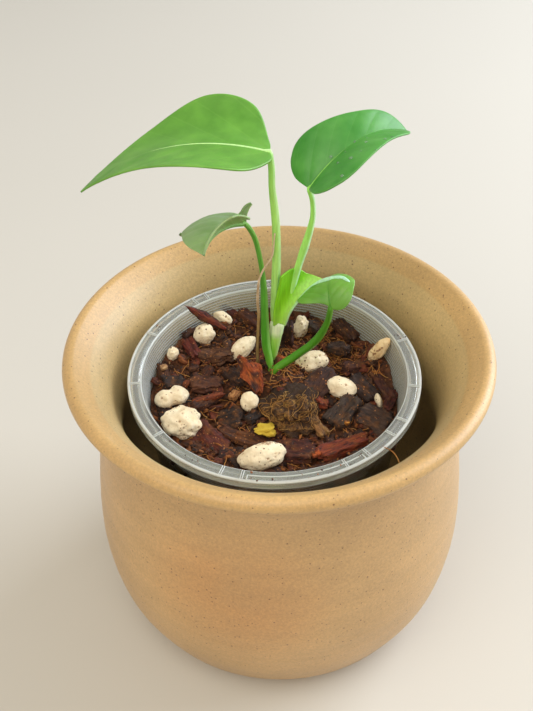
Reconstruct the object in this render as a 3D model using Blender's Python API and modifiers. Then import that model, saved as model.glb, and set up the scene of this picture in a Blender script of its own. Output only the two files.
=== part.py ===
"""A young potted monstera: a stoneware outer pot, a clear nursery pot standing a little tilted in it,
a bark mix with pumice stones, and a short stem with four leaves.

Metres, +Z up. The origin is the centre of the outer pot's flat foot, and the photographed side faces -Y.
"""

import math
import random

import bmesh
import bpy
from mathutils import Euler, Matrix, Vector, noise

MM = 0.001
SEED = 11
GAP = 0.3 * MM  # between any two pieces that touch on the real plant

# Outer pot: radius and height of the outside, of the lip bead and of the inside
RIM_RADIUS = 75 * MM
POT_HEIGHT = 121 * MM
LIP_BEAD = 2.8 * MM
FOOT_RADIUS = 54 * MM
BELLY = [(60, 7), (65.6, 20), (68.3, 34), (69.0, 47), (68.2, 62), (66.5, 78), (64.6, 93), (64.0, 103)]
NECK = [(66.4, 109.2), (70.0, 113.6)]
FLARE = [(66.8, 117.6), (62.4, 112.2), (59.3, 105.6), (57.4, 97)]
THROAT_TO_FLOOR = [(57.3, 88), (59.6, 75), (62.4, 58), (62.3, 43), (58.2, 29.5), (51.5, 19.8), (45.0, 14.2),
                   (38.9, 10.3)]
FLOOR_RADIUS = 34.9 * MM
FLOOR_THICKNESS = 8 * MM
POT_SIDES = 48

# Nursery pot, in its own frame: the rim's top face is z = 0 and the pot hangs below it
NURSERY_RIM_CENTRE = Vector((-1.6, -0.6, 108.3)) * MM
NURSERY_TILT = math.radians(2.25)  # the near side of the rim is the low one
NURSERY_RADIUS = 52 * MM
NURSERY_MOUTH = 46.9 * MM
NURSERY_DEPTH = 98.7 * MM
NURSERY_FOOT = 36.5 * MM
NURSERY_WALL = 1.1 * MM
NURSERY_SKIRT = 3 * MM
NURSERY_RECESS = 1.5 * MM
RIB_BEARINGS = (-174, -143, -111, -103, -63, -53, -39, -30, -10, 18, 54, 90, 121, 127, 155)
RIB_SIZE = Vector((4.4, 0.9, 1.0)) * MM
DRAIN_CENTRE = 4.5 * MM
DRAIN_HOLE = 3 * MM
DRAIN_CIRCLE = 25 * MM
DRAIN_COUNT = 8

# Potting mix, in the nursery pot's frame
MIX_DEPTH = 14.5 * MM
MIX_SLOPE_RIGHT = 2.0 * MM
MIX_RISE_BACK = 4.0 * MM
MIX_WALL_RISE = 3.0 * MM  # how far the mix is heaped against the wall at the back
MIX_WALL_REACH = 8 * MM
MIX_MOUNDS = [((4, 8), 5.0, 14), ((37, 16), 5.0, 8), ((-19, 34), 1.6, 5), ((-5, -1), -1.4, 4)]  # place, height and spread
MIX_ROUGHNESS = 1.0 * MM
MIX_RINGS = 8
MIX_SIDES = 36
BARK_CHIPS = 44

# Pumice stones, in the nursery pot's frame: centre, size, turn about the vertical and tilt in degrees,
# how lumpy, and how far the waist is drawn in
STONES = {
    "pumice_back_left": ((-26.1, 29.4, -8.0), (8.2, 7.2, 8.6), 20, 8, 0.10, 0.0),
    "pumice_far_left": ((-19.4, 37.8, -7.2), (7.8, 4.8, 5.2), -15, 14, 0.14, 0.0),
    "pumice_by_stem": ((-11.5, 22.7, -9.0), (11.6, 6.6, 6.4), 36, -22, 0.08, 0.0),
    "pumice_small_left": ((-37.8, 20.4, -9.5), (4.6, 4.0, 4.8), 60, 0, 0.16, 0.0),
    "pumice_two_lobed": ((-37.0, -2.2, -10.0), (12.6, 8.2, 8.0), 24, 0, 0.08, 0.30),
    "pumice_rough": ((-32.8, -14.6, -10.4), (12.6, 13.4, 10.4), 70, 12, 0.24, 0.0),
    "pumice_centre": ((-9.0, -4.2, -11.0), (6.6, 6.4, 7.6), 0, 14, 0.09, 0.0),
    "pumice_front": ((-4.7, -30.2, -11.2), (16.6, 9.6, 8.6), 12, -6, 0.10, 0.0),
    "pumice_back_right": ((10.6, 33.9, -9.0), (5.6, 5.4, 8.6), 25, 22, 0.26, 0.0),
    "pumice_pitted": ((14.2, 15.2, -9.8), (12.4, 8.0, 7.2), 12, -8, 0.10, 0.0),
    "pumice_right": ((24.4, 3.2, -11.8), (11.2, 8.2, 7.6), -22, 8, 0.07, 0.0),
    "pumice_tan": ((39.1, 16.4, -5.3), (5.0, 4.8, 11.8), 8, 36, 0.09, 0.0),
    "pumice_sliver": ((37.8, -1.0, -15.0), (2.6, 4.4, 7.2), 10, -10, 0.10, 0.0),
}
FINE_STONES = ("pumice_rough", "pumice_front")  # given more faces

# Loose pieces that stand out of the mix: root, tip, width and thickness, and the way that the face looks
SPEAR = (Vector((-18.4, 33.2, -8.6)) * MM, Vector((-32.7, 28.8, 7.0)) * MM)
SPEAR_SIZE = (5.4 * MM, 1.5 * MM)
WEDGE = (Vector((-5.4, 0.6, -11.2)) * MM, Vector((-12.9, 12.0, -4.2)) * MM)
WEDGE_SIZE = (7.4 * MM, 2.4 * MM)
WEDGE_BOW = 1.4 * MM
FACING = Vector((0, -0.76, 0.65))
WEDGE_ENDS = (0.5, 0.3)  # how wide its foot and its top are against its middle
MOSS_PLACE = Vector((6.6, -7.6, -12.2)) * MM
MOSS_SIZE = Vector((19.0, 21.5, 11.5)) * MM
MOSS_ROUGHNESS = 0.34

# Stem and petioles: points of each path, each with the radius there
STEM_PATH = [(-2.6, 16.0, 86, 1.4), (-2.3, 16.2, 98, 1.5), (-1.9, 16.6, 102, 1.8), (-1.2, 16.8, 107, 2.1),
             (-0.7, 17.0, 111, 2.3), (-0.2, 17.1, 115.4, 2.7)]
DRY_SHEATH_PATH = [(-7.9, 13.9, 88, 0.9), (-7.6, 13.9, 99, 0.8), (-7.6, 13.8, 106, 0.6), (-7.1, 13.6, 116, 0.55),
                   (-6.8, 13.0, 123, 0.5), (-7.1, 12.5, 130, 0.45), (-6.4, 12.7, 138.6, 0.4),
                   (-4.5, 13.5, 143.2, 0.4), (-2.0, 14.2, 147, 0.4), (-1.3, 14.0, 152, 0.4), (-0.9, 13.9, 157, 0.4)]

LEAF_THICKNESS = 0.8 * MM
MIDRIB_REACH = 0.78  # how far along the blade the midrib stands out below

# Each leaf: the petiole's path, its radii, and the blade. A blade is a flat outline bent along its midrib:
# heading and turn are in plan, rise and droop are its slope at the foot and at the tip, roll is about the
# midrib, fold and curl lift or roll the two halves, and flare lifts the two lobes (left, right).
LEAVES = {
    "leaf_left_large": {
        "path": [(-0.9, 17.5, 116, 1.5), (-1.0, 17.5, 122, 1.6), (-0.7, 17.1, 133, 1.6), (-0.3, 16.5, 146.5, 1.5),
                 (-0.4, 16.0, 157, 1.4), (-0.9, 15.4, 166, 1.35), (-1.6, 15.0, 174, 1.15), (-1.7, 14.9, 181, 1.1)],
        "foot": (-2.2, 14.8, 187.5, 1.0),
        "length": 67, "half_width": (23.2, 25.8),
        "widest": 0.34, "shoulder": 0.63, "taper": 0.30,
        "lobe": ((0.8, 0.27), (-1.3, 0.27)),
        "heading": 169.5, "turn": 16.7, "rise": 10.5, "droop": -43, "bend": 1.2,
        "roll": (1, 11), "fold": (-3, -10), "curl": (-23, -44), "flare": (0, 0),
        "steps": 3, "columns": 8,
    },
    "leaf_right": {
        "path": [(2.4, 18.2, 116.2, 1.1), (3.0, 17.9, 120.6, 1.2), (4.1, 17.9, 125.7, 1.2), (5.3, 18.3, 131, 1.2),
                 (6.6, 18.5, 137, 1.25), (8.0, 18.3, 143, 1.3), (9.4, 17.9, 148.6, 1.45), (11.1, 17.3, 156, 1.2),
                 (12.0, 16.7, 162.3, 0.95), (11.7, 16.3, 168.5, 0.9)],
        "foot": (10.6, 15.9, 173.0, 0.95),
        "length": 47, "half_width": (14.8, 15.0),
        "widest": 0.26, "shoulder": 0.67, "taper": 0.47,
        "lobe": ((-0.2, 0.48), (-0.2, 0.48)),
        "heading": 30, "turn": 9, "rise": 48, "droop": -38.5, "bend": 1.2,
        "roll": (-4, 15.5), "fold": (26, 28.5), "curl": (22, 24), "flare": (0, 0),
        "steps": 3, "columns": 6,
    },
    "leaf_left_small": {
        "path": [(-2.2, 12.2, 88, 1.1), (-2.6, 12.5, 97, 1.2), (-3.4, 13.1, 102.6, 1.4), (-4.3, 13.6, 108, 1.6),
                 (-4.7, 14.0, 115.4, 1.6), (-4.8, 14.2, 124.4, 1.4), (-4.9, 14.7, 133, 1.2), (-5.5, 15.5, 142, 0.9),
                 (-7.2, 15.6, 152.6, 0.9), (-9.2, 15.1, 158.2, 0.9)],
        "foot": (-11.1, 14.4, 161.2, 0.85),
        "length": 23.9, "half_width": (11.8, 15.4),
        "widest": 0.54, "shoulder": 0.88, "taper": 0.50,
        "lobe": ((-1.6, 0.16), (1.8, 0.24)),
        "heading": 212, "turn": 48, "rise": 19, "droop": -18, "bend": 1.0,
        "roll": (30, 48), "fold": (30, 45), "curl": (35.6, 37.5), "flare": (-3.7, -2.1),
        "steps": 2, "columns": 6,
    },
    "leaf_low_right": {
        "path": [(-3.0, 9.0, 88, 1.0), (-2.6, 9.4, 95, 1.1), (-1.2, 10.1, 99.4, 1.3), (1.7, 10.4, 102, 1.5),
                 (5.0, 10.3, 104.9, 1.5), (8.3, 10.0, 108.1, 1.5), (11.1, 9.6, 111, 1.5), (13.5, 9.0, 114.4, 1.5),
                 (15.4, 8.3, 118.2, 1.35), (16.7, 7.5, 122, 1.2), (17.6, 6.7, 126, 1.1)],
        "foot": (18.1, 5.5, 131.5, 1.0),
        "length": 18.4, "half_width": (12.8, 9.6),
        "widest": 0.43, "shoulder": 0.82, "taper": 0.29,
        "lobe": ((-1.9, 0.20), (0.4, 0.40)),
        "heading": 107, "turn": -41.6, "rise": 69, "droop": -55, "bend": 1.0,
        "roll": (-28, -27), "fold": (-1, 5), "curl": (22.5, 57), "flare": (2.7, 3.6),
        "steps": 2, "columns": 8,
    },
}

# Sheets between two margins, from the foot up: how far the middle stands back from the margins at the foot
# and at the top, and how far the top edge is arched
SHEATH = {
    "left": [(-1.6, 14.6, 116.7), (-1.5, 14.4, 121.4), (-0.9, 14.3, 126.9), (0.0, 14.3, 131.8), (0.7, 14.2, 135.7),
             (1.1, 14.3, 138.6)],
    "right": [(2.6, 14.6, 117.0), (4.2, 14.4, 122.6), (6.6, 15.0, 126.8), (9.8, 16.3, 130.4), (13.2, 17.9, 132.3),
              (16.4, 19.4, 133.5)],
    "hollow": (1.2, 3.4), "arch": 2.0,
}
LOBE_OF_SMALL_LEAF = {
    "left": [(-13.1, 14.4, 161.2), (-13.2, 14.6, 163.6), (-12.0, 15.0, 165.2), (-11.0, 15.4, 166.7),
             (-9.8, 15.8, 167.5), (-8.9, 16.0, 167.7)],
    "right": [(-10.3, 14.6, 160.4), (-10.2, 14.8, 162.4), (-10.0, 15.0, 164.0), (-9.5, 15.3, 165.4),
              (-8.9, 15.7, 166.6), (-8.3, 16.0, 167.4)],
    "hollow": (0.3, 0.6), "arch": 0.0,
}
SHEET_THICKNESS = 0.8 * MM
SHEET_COLUMNS = 5


def clear_scene():
    for obj in list(bpy.data.objects):
        bpy.data.objects.remove(obj)


def new_collection(name):
    found = bpy.data.collections.new(name)
    bpy.context.scene.collection.children.link(found)
    return found


def material(name, colour, roughness, alpha=1.0):
    made = bpy.data.materials.new(name)
    made.use_nodes = True
    shader = made.node_tree.nodes["Principled BSDF"]
    shader.inputs["Base Color"].default_value = (*colour, 1)
    shader.inputs["Roughness"].default_value = roughness
    shader.inputs["Alpha"].default_value = alpha
    made.diffuse_color = (*colour, 1)
    return made


def smooth_curve(points, steps):
    """Points of a Catmull-Rom curve through the given ones, steps to a span, both ends included."""
    given = [Vector(point) for point in points]
    given = [2 * given[0] - given[1], *given, 2 * given[-1] - given[-2]]
    curve = []
    for a, b, c, d in zip(given, given[1:], given[2:], given[3:]):
        for step in range(steps):
            t = step / steps
            curve.append(0.5 * (2 * b + (c - a) * t + (2 * a - 5 * b + 4 * c - d) * t**2
                                + (3 * b - a - 3 * c + d) * t**3))
    curve.append(given[-2])
    return curve


def arc(centre, radius, start, end, steps):
    """Points on an arc from the angle start to the angle end, in degrees."""
    angles = [math.radians(start + (end - start) * step / steps) for step in range(steps + 1)]
    return [Vector(centre) + radius * Vector((math.cos(angle), math.sin(angle))) for angle in angles]


def add_object(name, mesh, collection, finish=None, parent=None):
    obj = bpy.data.objects.new(name, mesh)
    collection.objects.link(obj)
    obj.parent = parent
    if finish:
        mesh.materials.append(finish)
    return obj


def mesh_of(name, shape, smooth=True):
    """A mesh made from a bmesh, which is freed."""
    mesh = bpy.data.meshes.new(name)
    shape.to_mesh(mesh)
    shape.free()
    if smooth:
        mesh.shade_smooth()
    return mesh


def frozen(obj):
    """Gives the object the mesh that its modifiers make, and drops the modifiers."""
    bpy.context.view_layer.update()
    graph = bpy.context.evaluated_depsgraph_get()
    mesh = bpy.data.meshes.new_from_object(obj.evaluated_get(graph))
    obj.modifiers.clear()
    obj.data = mesh
    return obj


def turned(name, profile, sides, collection, finish, parent=None):
    """A turned solid. The profile is (radius, height) points that run down its outer side."""
    shape = bmesh.new()
    corners = [shape.verts.new((radius, 0, height)) for radius, height in profile]
    for first, second in zip(corners, corners[1:]):
        shape.edges.new((first, second))
    obj = add_object(name, mesh_of(name, shape, smooth=False), collection, finish, parent)
    screw = obj.modifiers.new("Turn", "SCREW")
    screw.steps = sides
    screw.render_steps = sides
    screw.use_merge_vertices = True
    screw.merge_threshold = 0.00002
    screw.use_smooth_shade = True
    return frozen(obj)


def tube(name, path, radii, sides_level, collection):
    """A tapered tube along the points of a path, as a closed mesh."""
    curve = bpy.data.curves.new(name, "CURVE")
    curve.dimensions = "3D"
    curve.bevel_depth = 1.0
    curve.bevel_resolution = sides_level
    curve.use_fill_caps = True
    spline = curve.splines.new("POLY")
    spline.points.add(len(path) - 1)
    for point, place, radius in zip(spline.points, path, radii):
        point.co = (*place, 1)
        point.radius = radius
    bent = bpy.data.objects.new(name, curve)
    collection.objects.link(bent)
    bpy.context.view_layer.update()
    graph = bpy.context.evaluated_depsgraph_get()
    mesh = bpy.data.meshes.new_from_object(bent.evaluated_get(graph))
    bpy.data.objects.remove(bent)
    shape = bmesh.new()
    shape.from_mesh(mesh)
    bmesh.ops.remove_doubles(shape, verts=shape.verts, dist=0.01 * MM)
    bmesh.ops.recalc_face_normals(shape, faces=shape.faces)
    return add_object(name, mesh_of(name, shape), collection)


def combine(target, others, operation, solver="EXACT"):
    """Joins the other objects to the target, or cuts them from it, and removes them."""
    group = bpy.data.collections.new("cutters")
    bpy.context.scene.collection.children.link(group)
    for other in others:
        for owner in list(other.users_collection):
            owner.objects.unlink(other)
        group.objects.link(other)
        other.display_type = "WIRE"
    boolean = target.modifiers.new("Combine", "BOOLEAN")
    boolean.operation = operation
    boolean.operand_type = "COLLECTION"
    boolean.collection = group
    boolean.solver = solver
    frozen(target)
    for other in list(group.objects):
        bpy.data.objects.remove(other)
    bpy.data.collections.remove(group)
    shape = bmesh.new()
    shape.from_mesh(target.data)
    bmesh.ops.remove_doubles(shape, verts=shape.verts, dist=0.001 * MM)
    bmesh.ops.dissolve_degenerate(shape, edges=shape.edges, dist=0.001 * MM)
    shape.to_mesh(target.data)
    shape.free()
    return target


def keep_largest_piece(obj):
    """Drops the crumbs that a cut has left beside the piece."""
    shape = bmesh.new()
    shape.from_mesh(obj.data)
    left = set(shape.verts)
    pieces = []
    while left:
        piece = {left.pop()}
        edge = set(piece)
        while edge:
            edge = {other.other_vert(vertex) for vertex in edge for other in vertex.link_edges} - piece
            piece |= edge
        left -= piece
        pieces.append(piece)
    largest = max(pieces, key=len)
    bmesh.ops.delete(shape, geom=[vertex for vertex in shape.verts if vertex not in largest], context="VERTS")
    shape.to_mesh(obj.data)
    shape.free()


def outer_pot(collection):
    inside = [(0, FLOOR_THICKNESS), (FLOOR_RADIUS, FLOOR_THICKNESS)]
    rise = [Vector(point) * MM for point in reversed(THROAT_TO_FLOOR)]
    flare = [Vector(point) * MM for point in reversed(FLARE)]
    bead_centre = (RIM_RADIUS - LIP_BEAD, POT_HEIGHT - LIP_BEAD)
    bead = arc(bead_centre, LIP_BEAD, 128, -58, 6)
    outside = [Vector(point) * MM for point in reversed(BELLY + NECK)]
    foot = [(FOOT_RADIUS, 1.6 * MM), (FOOT_RADIUS - 1.4 * MM, 0), (0, 0)]
    profile = inside + rise + flare + bead + outside + foot
    return turned("outer_pot", profile, POT_SIDES, collection,
                  material("stoneware", (0.56, 0.42, 0.25), 0.72))


def nursery_inside(depth):
    """Inner radius of the nursery pot at a depth below its rim."""
    floor_radius = NURSERY_FOOT - NURSERY_WALL
    return NURSERY_MOUTH + (floor_radius - NURSERY_MOUTH) * depth / NURSERY_DEPTH


def nursery_pot(collection, frame):
    floor = NURSERY_DEPTH - NURSERY_RECESS - NURSERY_WALL
    profile = [
        (0, -floor),
        (nursery_inside(floor), -floor),
        (NURSERY_MOUTH, -0.9 * MM),
        (NURSERY_MOUTH + 0.3 * MM, 0),
        (NURSERY_RADIUS - 0.3 * MM, 0),
        (NURSERY_RADIUS, -0.4 * MM),
        (NURSERY_RADIUS, -NURSERY_SKIRT),
        (NURSERY_RADIUS - NURSERY_WALL, -NURSERY_SKIRT),
        (NURSERY_RADIUS - NURSERY_WALL, -1.3 * MM),
        (NURSERY_MOUTH + NURSERY_WALL, -1.3 * MM),
        (NURSERY_FOOT + 0.3 * MM, -NURSERY_DEPTH + 2 * MM),
        (NURSERY_FOOT - 1.2 * MM, -NURSERY_DEPTH),
        (NURSERY_FOOT - 3.2 * MM, -NURSERY_DEPTH),
        (NURSERY_FOOT - 4.2 * MM, -NURSERY_DEPTH + NURSERY_RECESS),
        (0, -NURSERY_DEPTH + NURSERY_RECESS),
    ]
    pot = turned("nursery_pot", profile, POT_SIDES, collection,
                 material("clear_plastic", (0.72, 0.75, 0.77), 0.25, alpha=0.45), frame)
    ribs = []
    for bearing in RIB_BEARINGS:
        shape = bmesh.new()
        bmesh.ops.create_cube(shape, size=1)
        bmesh.ops.scale(shape, vec=RIB_SIZE, verts=shape.verts)
        middle = (NURSERY_MOUTH + NURSERY_RADIUS) / 2
        bmesh.ops.translate(shape, vec=(middle, 0, 0), verts=shape.verts)
        bmesh.ops.rotate(shape, matrix=Matrix.Rotation(math.radians(bearing), 3, "Z"), verts=shape.verts)
        ribs.append(add_object("rib", mesh_of("rib", shape), collection, parent=frame))
    combine(pot, ribs, "UNION")
    holes = []
    bearings = [math.tau * index / DRAIN_COUNT for index in range(DRAIN_COUNT)]
    places = [(DRAIN_CIRCLE * math.cos(angle), DRAIN_CIRCLE * math.sin(angle), DRAIN_HOLE) for angle in bearings]
    for x, y, radius in [(0, 0, DRAIN_CENTRE), *places]:
        shape = bmesh.new()
        bmesh.ops.create_cone(shape, cap_ends=True, segments=12, radius1=radius, radius2=radius, depth=8 * MM)
        bmesh.ops.translate(shape, vec=(x, y, -floor), verts=shape.verts)
        holes.append(add_object("hole", mesh_of("hole", shape), collection, parent=frame))
    return combine(pot, holes, "DIFFERENCE")


def mix_height(x, y):
    """Height of the mix's surface in the nursery pot's frame, below its rim."""
    span = NURSERY_MOUTH
    height = -MIX_DEPTH - MIX_SLOPE_RIGHT * x / span + MIX_RISE_BACK * max(0, y) / span
    for place, rise, spread in MIX_MOUNDS:
        away = (Vector((x, y)) / MM - Vector(place)).length / spread
        height += rise * MM * math.exp(-away * away)
    near_wall = max(0, math.hypot(x, y) - (span - MIX_WALL_REACH)) / MIX_WALL_REACH
    height += MIX_WALL_RISE * min(1, near_wall) * min(1, max(0, 0.35 + 1.3 * y / span))
    return height + MIX_ROUGHNESS * noise.noise(Vector((x, y, 0)) / (6 * MM))


def mix_body(collection, frame, finish):
    """The mix without its chips: a turned plug whose top face is then raised by mix_height."""
    reach = nursery_inside(MIX_DEPTH) - GAP
    floor = NURSERY_DEPTH - NURSERY_RECESS - NURSERY_WALL - GAP
    top = [(reach * ring / MIX_RINGS, 0) for ring in range(MIX_RINGS + 1)]
    bottom = nursery_inside(floor) - GAP
    plug = turned("potting_mix", top + [(bottom, -floor), (0, -floor)], MIX_SIDES, collection, finish, frame)
    for vertex in plug.data.vertices:
        if vertex.co.z < -MM:
            continue
        height = mix_height(vertex.co.x, vertex.co.y)
        if vertex.co.xy.length > reach - 0.1 * MM:
            edge = nursery_inside(-height) - GAP
            vertex.co.xy = vertex.co.xy.normalized() * edge
        vertex.co.z = height
    return plug


def bark_chip(number, place, draw, collection, frame):
    """One flat, uneven bark chip lying on the mix and sunk well into it."""
    shape = bmesh.new()
    bmesh.ops.create_cube(shape, size=1)
    size = Vector((draw.uniform(8, 14), draw.uniform(4.5, 8.5), draw.uniform(2.6, 4.4))) * MM
    bmesh.ops.scale(shape, vec=size, verts=shape.verts)
    for vertex in shape.verts:
        vertex.co.x *= draw.uniform(0.6, 1.05)
        vertex.co.y *= draw.uniform(0.55, 1.05)
        vertex.co.z *= draw.uniform(0.7, 1.2)
    turn = Euler((math.radians(draw.uniform(-24, 24)), math.radians(draw.uniform(-20, 20)),
                  draw.uniform(0, math.tau)))
    bmesh.ops.rotate(shape, matrix=turn.to_matrix(), verts=shape.verts)
    height = mix_height(*place) + draw.uniform(-0.4, 1.0) * MM
    bmesh.ops.translate(shape, vec=(*place, height), verts=shape.verts)
    return add_object(f"chip_{number}", mesh_of("chip", shape, smooth=False), collection, parent=frame)


def chips_on_mix(plug, collection, frame):
    """Spreads the bark chips by a golden-angle spiral, joins them to the mix and trims what is past the wall."""
    draw = random.Random(SEED)
    chips = []
    for number in range(BARK_CHIPS):
        radius = NURSERY_MOUTH * math.sqrt((number + 0.5) / BARK_CHIPS) - 3 * MM
        angle = number * math.pi * (3 - math.sqrt(5))
        place = (max(radius, 0) * math.cos(angle), max(radius, 0) * math.sin(angle))
        chips.append(bark_chip(number, place, draw, collection, frame))
    combine(plug, chips, "UNION")
    bottom = NURSERY_DEPTH
    inside = [(0, 0), (nursery_inside(0) - GAP, 0), (nursery_inside(bottom) - GAP, -bottom), (0, -bottom)]
    keep = turned("keep", inside, MIX_SIDES, collection, None, frame)
    return combine(plug, [keep], "INTERSECT")


def lump(name, size, roughness, waist, level, collection, finish, frame):
    """A rounded lump: a sphere with seeded bumps, drawn in at its waist."""
    shape = bmesh.new()
    bmesh.ops.create_icosphere(shape, subdivisions=level, radius=0.5)
    offset = Vector((sum(map(ord, name)) * 0.37, 0, 0))
    for vertex in shape.verts:
        narrow = 1 - waist * math.exp(-(vertex.co.x / 0.14) ** 2)
        bump = 1 + roughness * (noise.noise(vertex.co * 2.6 + offset) + 0.5 * noise.noise(vertex.co * 6 + offset))
        vertex.co = Vector((vertex.co.x, vertex.co.y * narrow, vertex.co.z * narrow)) * bump
    bmesh.ops.scale(shape, vec=size, verts=shape.verts)
    return add_object(name, mesh_of(name, shape), collection, finish, frame)


def pumice_stones(collection, frame):
    finish = material("pumice", (0.80, 0.72, 0.62), 0.9)
    stones = []
    for name, (centre, size, turn, tilt, roughness, waist) in STONES.items():
        level = 3 if name in FINE_STONES else 2
        stone = lump(name, Vector(size) * MM, roughness, waist, level, collection, finish, frame)
        stone.location = Vector(centre) * MM
        stone.rotation_euler = (0, math.radians(tilt), math.radians(turn))
        stones.append(stone)
    return stones


def stand_along(obj, ends):
    """Puts an object that stands along Z between two points, with its -Y face turned to FACING."""
    foot, top = ends
    along = (top - foot).normalized()
    across = along.cross(-FACING).normalized() * -1
    back = along.cross(across)
    obj.location = (foot + top) / 2
    obj.rotation_euler = Matrix((across, back, along)).transposed().to_euler()


def bark_spear(collection, frame):
    """The pointed dark red chip that stands up at the back left."""
    shape = bmesh.new()
    length = (SPEAR[1] - SPEAR[0]).length
    bmesh.ops.create_cone(shape, cap_ends=True, segments=8, radius1=0.30, radius2=0.06, depth=1)
    sides = [edge for edge in shape.edges if edge.calc_length() > 0.5]
    bmesh.ops.subdivide_edges(shape, edges=sides, cuts=3)
    for vertex in shape.verts:
        swell = 1 + 0.75 * math.sin(math.pi * (vertex.co.z + 0.5)) ** 2
        bow = 0.10 * math.cos(math.pi * vertex.co.z)
        vertex.co = Vector((vertex.co.x * swell * SPEAR_SIZE[0], (vertex.co.y * swell + bow) * SPEAR_SIZE[1],
                            vertex.co.z * length))
    bmesh.ops.triangulate(shape, faces=shape.faces)
    spear = add_object("bark_chip_spear", mesh_of("spear", shape, smooth=False), collection,
                       material("dark_bark", (0.17, 0.05, 0.025), 0.7), frame)
    stand_along(spear, SPEAR)
    return spear


def bark_wedge(collection, frame):
    """The orange-brown chip standing on its narrow end beside the stem."""
    shape = bmesh.new()
    length = (WEDGE[1] - WEDGE[0]).length
    bmesh.ops.create_cube(shape, size=1)
    bmesh.ops.subdivide_edges(shape, edges=shape.edges, cuts=2, use_grid_fill=True)
    for vertex in shape.verts:
        end = WEDGE_ENDS[0] if vertex.co.z < 0 else WEDGE_ENDS[1]
        narrow = 1 - (1 - end) * abs(2 * vertex.co.z)
        bow = WEDGE_BOW * math.cos(math.pi * vertex.co.z)
        vertex.co.x = (vertex.co.x * narrow + 0.1 * noise.noise(vertex.co * 4)) * WEDGE_SIZE[0] + bow
        vertex.co.y = (vertex.co.y + 0.5 * noise.noise(vertex.co * 2)) * WEDGE_SIZE[1]
        vertex.co.z = (vertex.co.z + 0.06 * noise.noise(vertex.co * 3)) * length
    bmesh.ops.triangulate(shape, faces=shape.faces)
    chip = add_object("bark_chip_orange", mesh_of("wedge", shape, smooth=False), collection,
                      material("orange_bark", (0.36, 0.12, 0.04), 0.75), frame)
    stand_along(chip, WEDGE)
    return chip


def swollen_copy(piece, collection):
    """A copy of the piece, one gap larger all round, to cut its socket with."""
    cutter = add_object("socket", piece.data.copy(), collection, parent=piece.parent)
    cutter.location = piece.location
    cutter.rotation_euler = piece.rotation_euler
    shape = bmesh.new()
    shape.from_mesh(cutter.data)
    shape.normal_update()
    moved = {vertex: vertex.co + vertex.normal * 1.25 * GAP for vertex in shape.verts}
    for vertex, place in moved.items():
        vertex.co = place
    shape.to_mesh(cutter.data)
    shape.free()
    return cutter


def path_of(points, steps):
    return smooth_curve([Vector(point) * MM for point in points], steps)


def stem_hole(points, collection):
    """The plain hole in the mix that a stem stands in: a gap round its first stretch, closed below."""
    path = path_of(points[:5], 2)
    places = [point.xyz for point in path]
    radii = [point.w + GAP for point in path]
    places[0] = places[0] - (places[1] - places[0]).normalized() * GAP
    return tube("hole", places, radii, 2, collection)


def midrib(leaf, reach, steps):
    """Places and slopes along the midrib, as (place, slope angle, heading angle) from the foot on."""
    place = Vector(leaf["foot"][:3]) * MM
    step = leaf["length"] * MM * reach / steps
    found = []
    for index in range(steps + 1):
        along = reach * index / steps
        found.append((place.copy(), *slope_at(leaf, along)))
        place += step * forward(*slope_at(leaf, min(1, along + reach / steps / 2)))
    return found


def slope_at(leaf, along):
    rise = leaf["rise"] + (leaf["droop"] - leaf["rise"]) * along ** leaf["bend"]
    heading = leaf["heading"] + leaf["turn"] * along
    return math.radians(rise), math.radians(heading)


def forward(rise, heading):
    return Vector((math.cos(rise) * math.cos(heading), math.cos(rise) * math.sin(heading), math.sin(rise)))


def blade_axes(leaf, along, rise, heading):
    """Directions across the blade, to its left, and up from its face, after the roll about the midrib."""
    ahead = forward(rise, heading)
    level = Vector((-math.sin(heading), math.cos(heading), 0))
    upright = ahead.cross(level)
    roll = math.radians(leaf["roll"][0] + (leaf["roll"][1] - leaf["roll"][0]) * along)
    across = math.cos(roll) * level + math.sin(roll) * upright
    return across, math.cos(roll) * upright - math.sin(roll) * level


def blade_point(leaf, spine, u, v):
    """Where the point of the flat outline at u along and v across (left positive) lies on the bent blade."""
    side = 0 if v >= 0 else 1
    length = leaf["length"] * MM
    along = min(max(u / length, 0), 1)
    index = min(int(along * (len(spine) - 1)), len(spine) - 2)
    share = along * (len(spine) - 1) - index
    place = spine[index][0].lerp(spine[index + 1][0], share)
    rise, heading = slope_at(leaf, along)
    across, upright = blade_axes(leaf, along, rise, heading)
    fold = math.radians(leaf["fold"][side])
    curl = math.radians(leaf["curl"][side]) / (leaf["half_width"][0] * MM)
    bent = fold - curl * abs(v)
    out = (math.sin(fold) - math.sin(bent)) / curl
    lift = (math.cos(bent) - math.cos(fold)) / curl
    lobe = leaf["lobe"][side][0] * MM
    spread = min(abs(v) / (leaf["half_width"][side] * MM), 1.2) ** 1.5
    lift += leaf["flare"][side] * MM * spread * math.exp(-(max(u + lobe, 0) / (0.3 * length)) ** 2)
    place = place + min(u, 0) * forward(rise, heading)
    return place + math.copysign(out, v) * across + lift * upright


def blade_outline(leaf, side, steps):
    """One half of the flat outline, as (along, across) points from the petiole round the lobe to the tip."""
    length = leaf["length"]
    width = leaf["half_width"][side]
    lobe, lobe_width = leaf["lobe"][side]
    points = [(0, 0), (-lobe, lobe_width * width), (leaf["widest"] * 0.35 * length - lobe * 0.35, 0.86 * width),
              (leaf["widest"] * length, width), (0.6 * length, leaf["shoulder"] * width),
              (0.82 * length, leaf["taper"] * width), (length, 0)]
    return path_of(points, steps)


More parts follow.
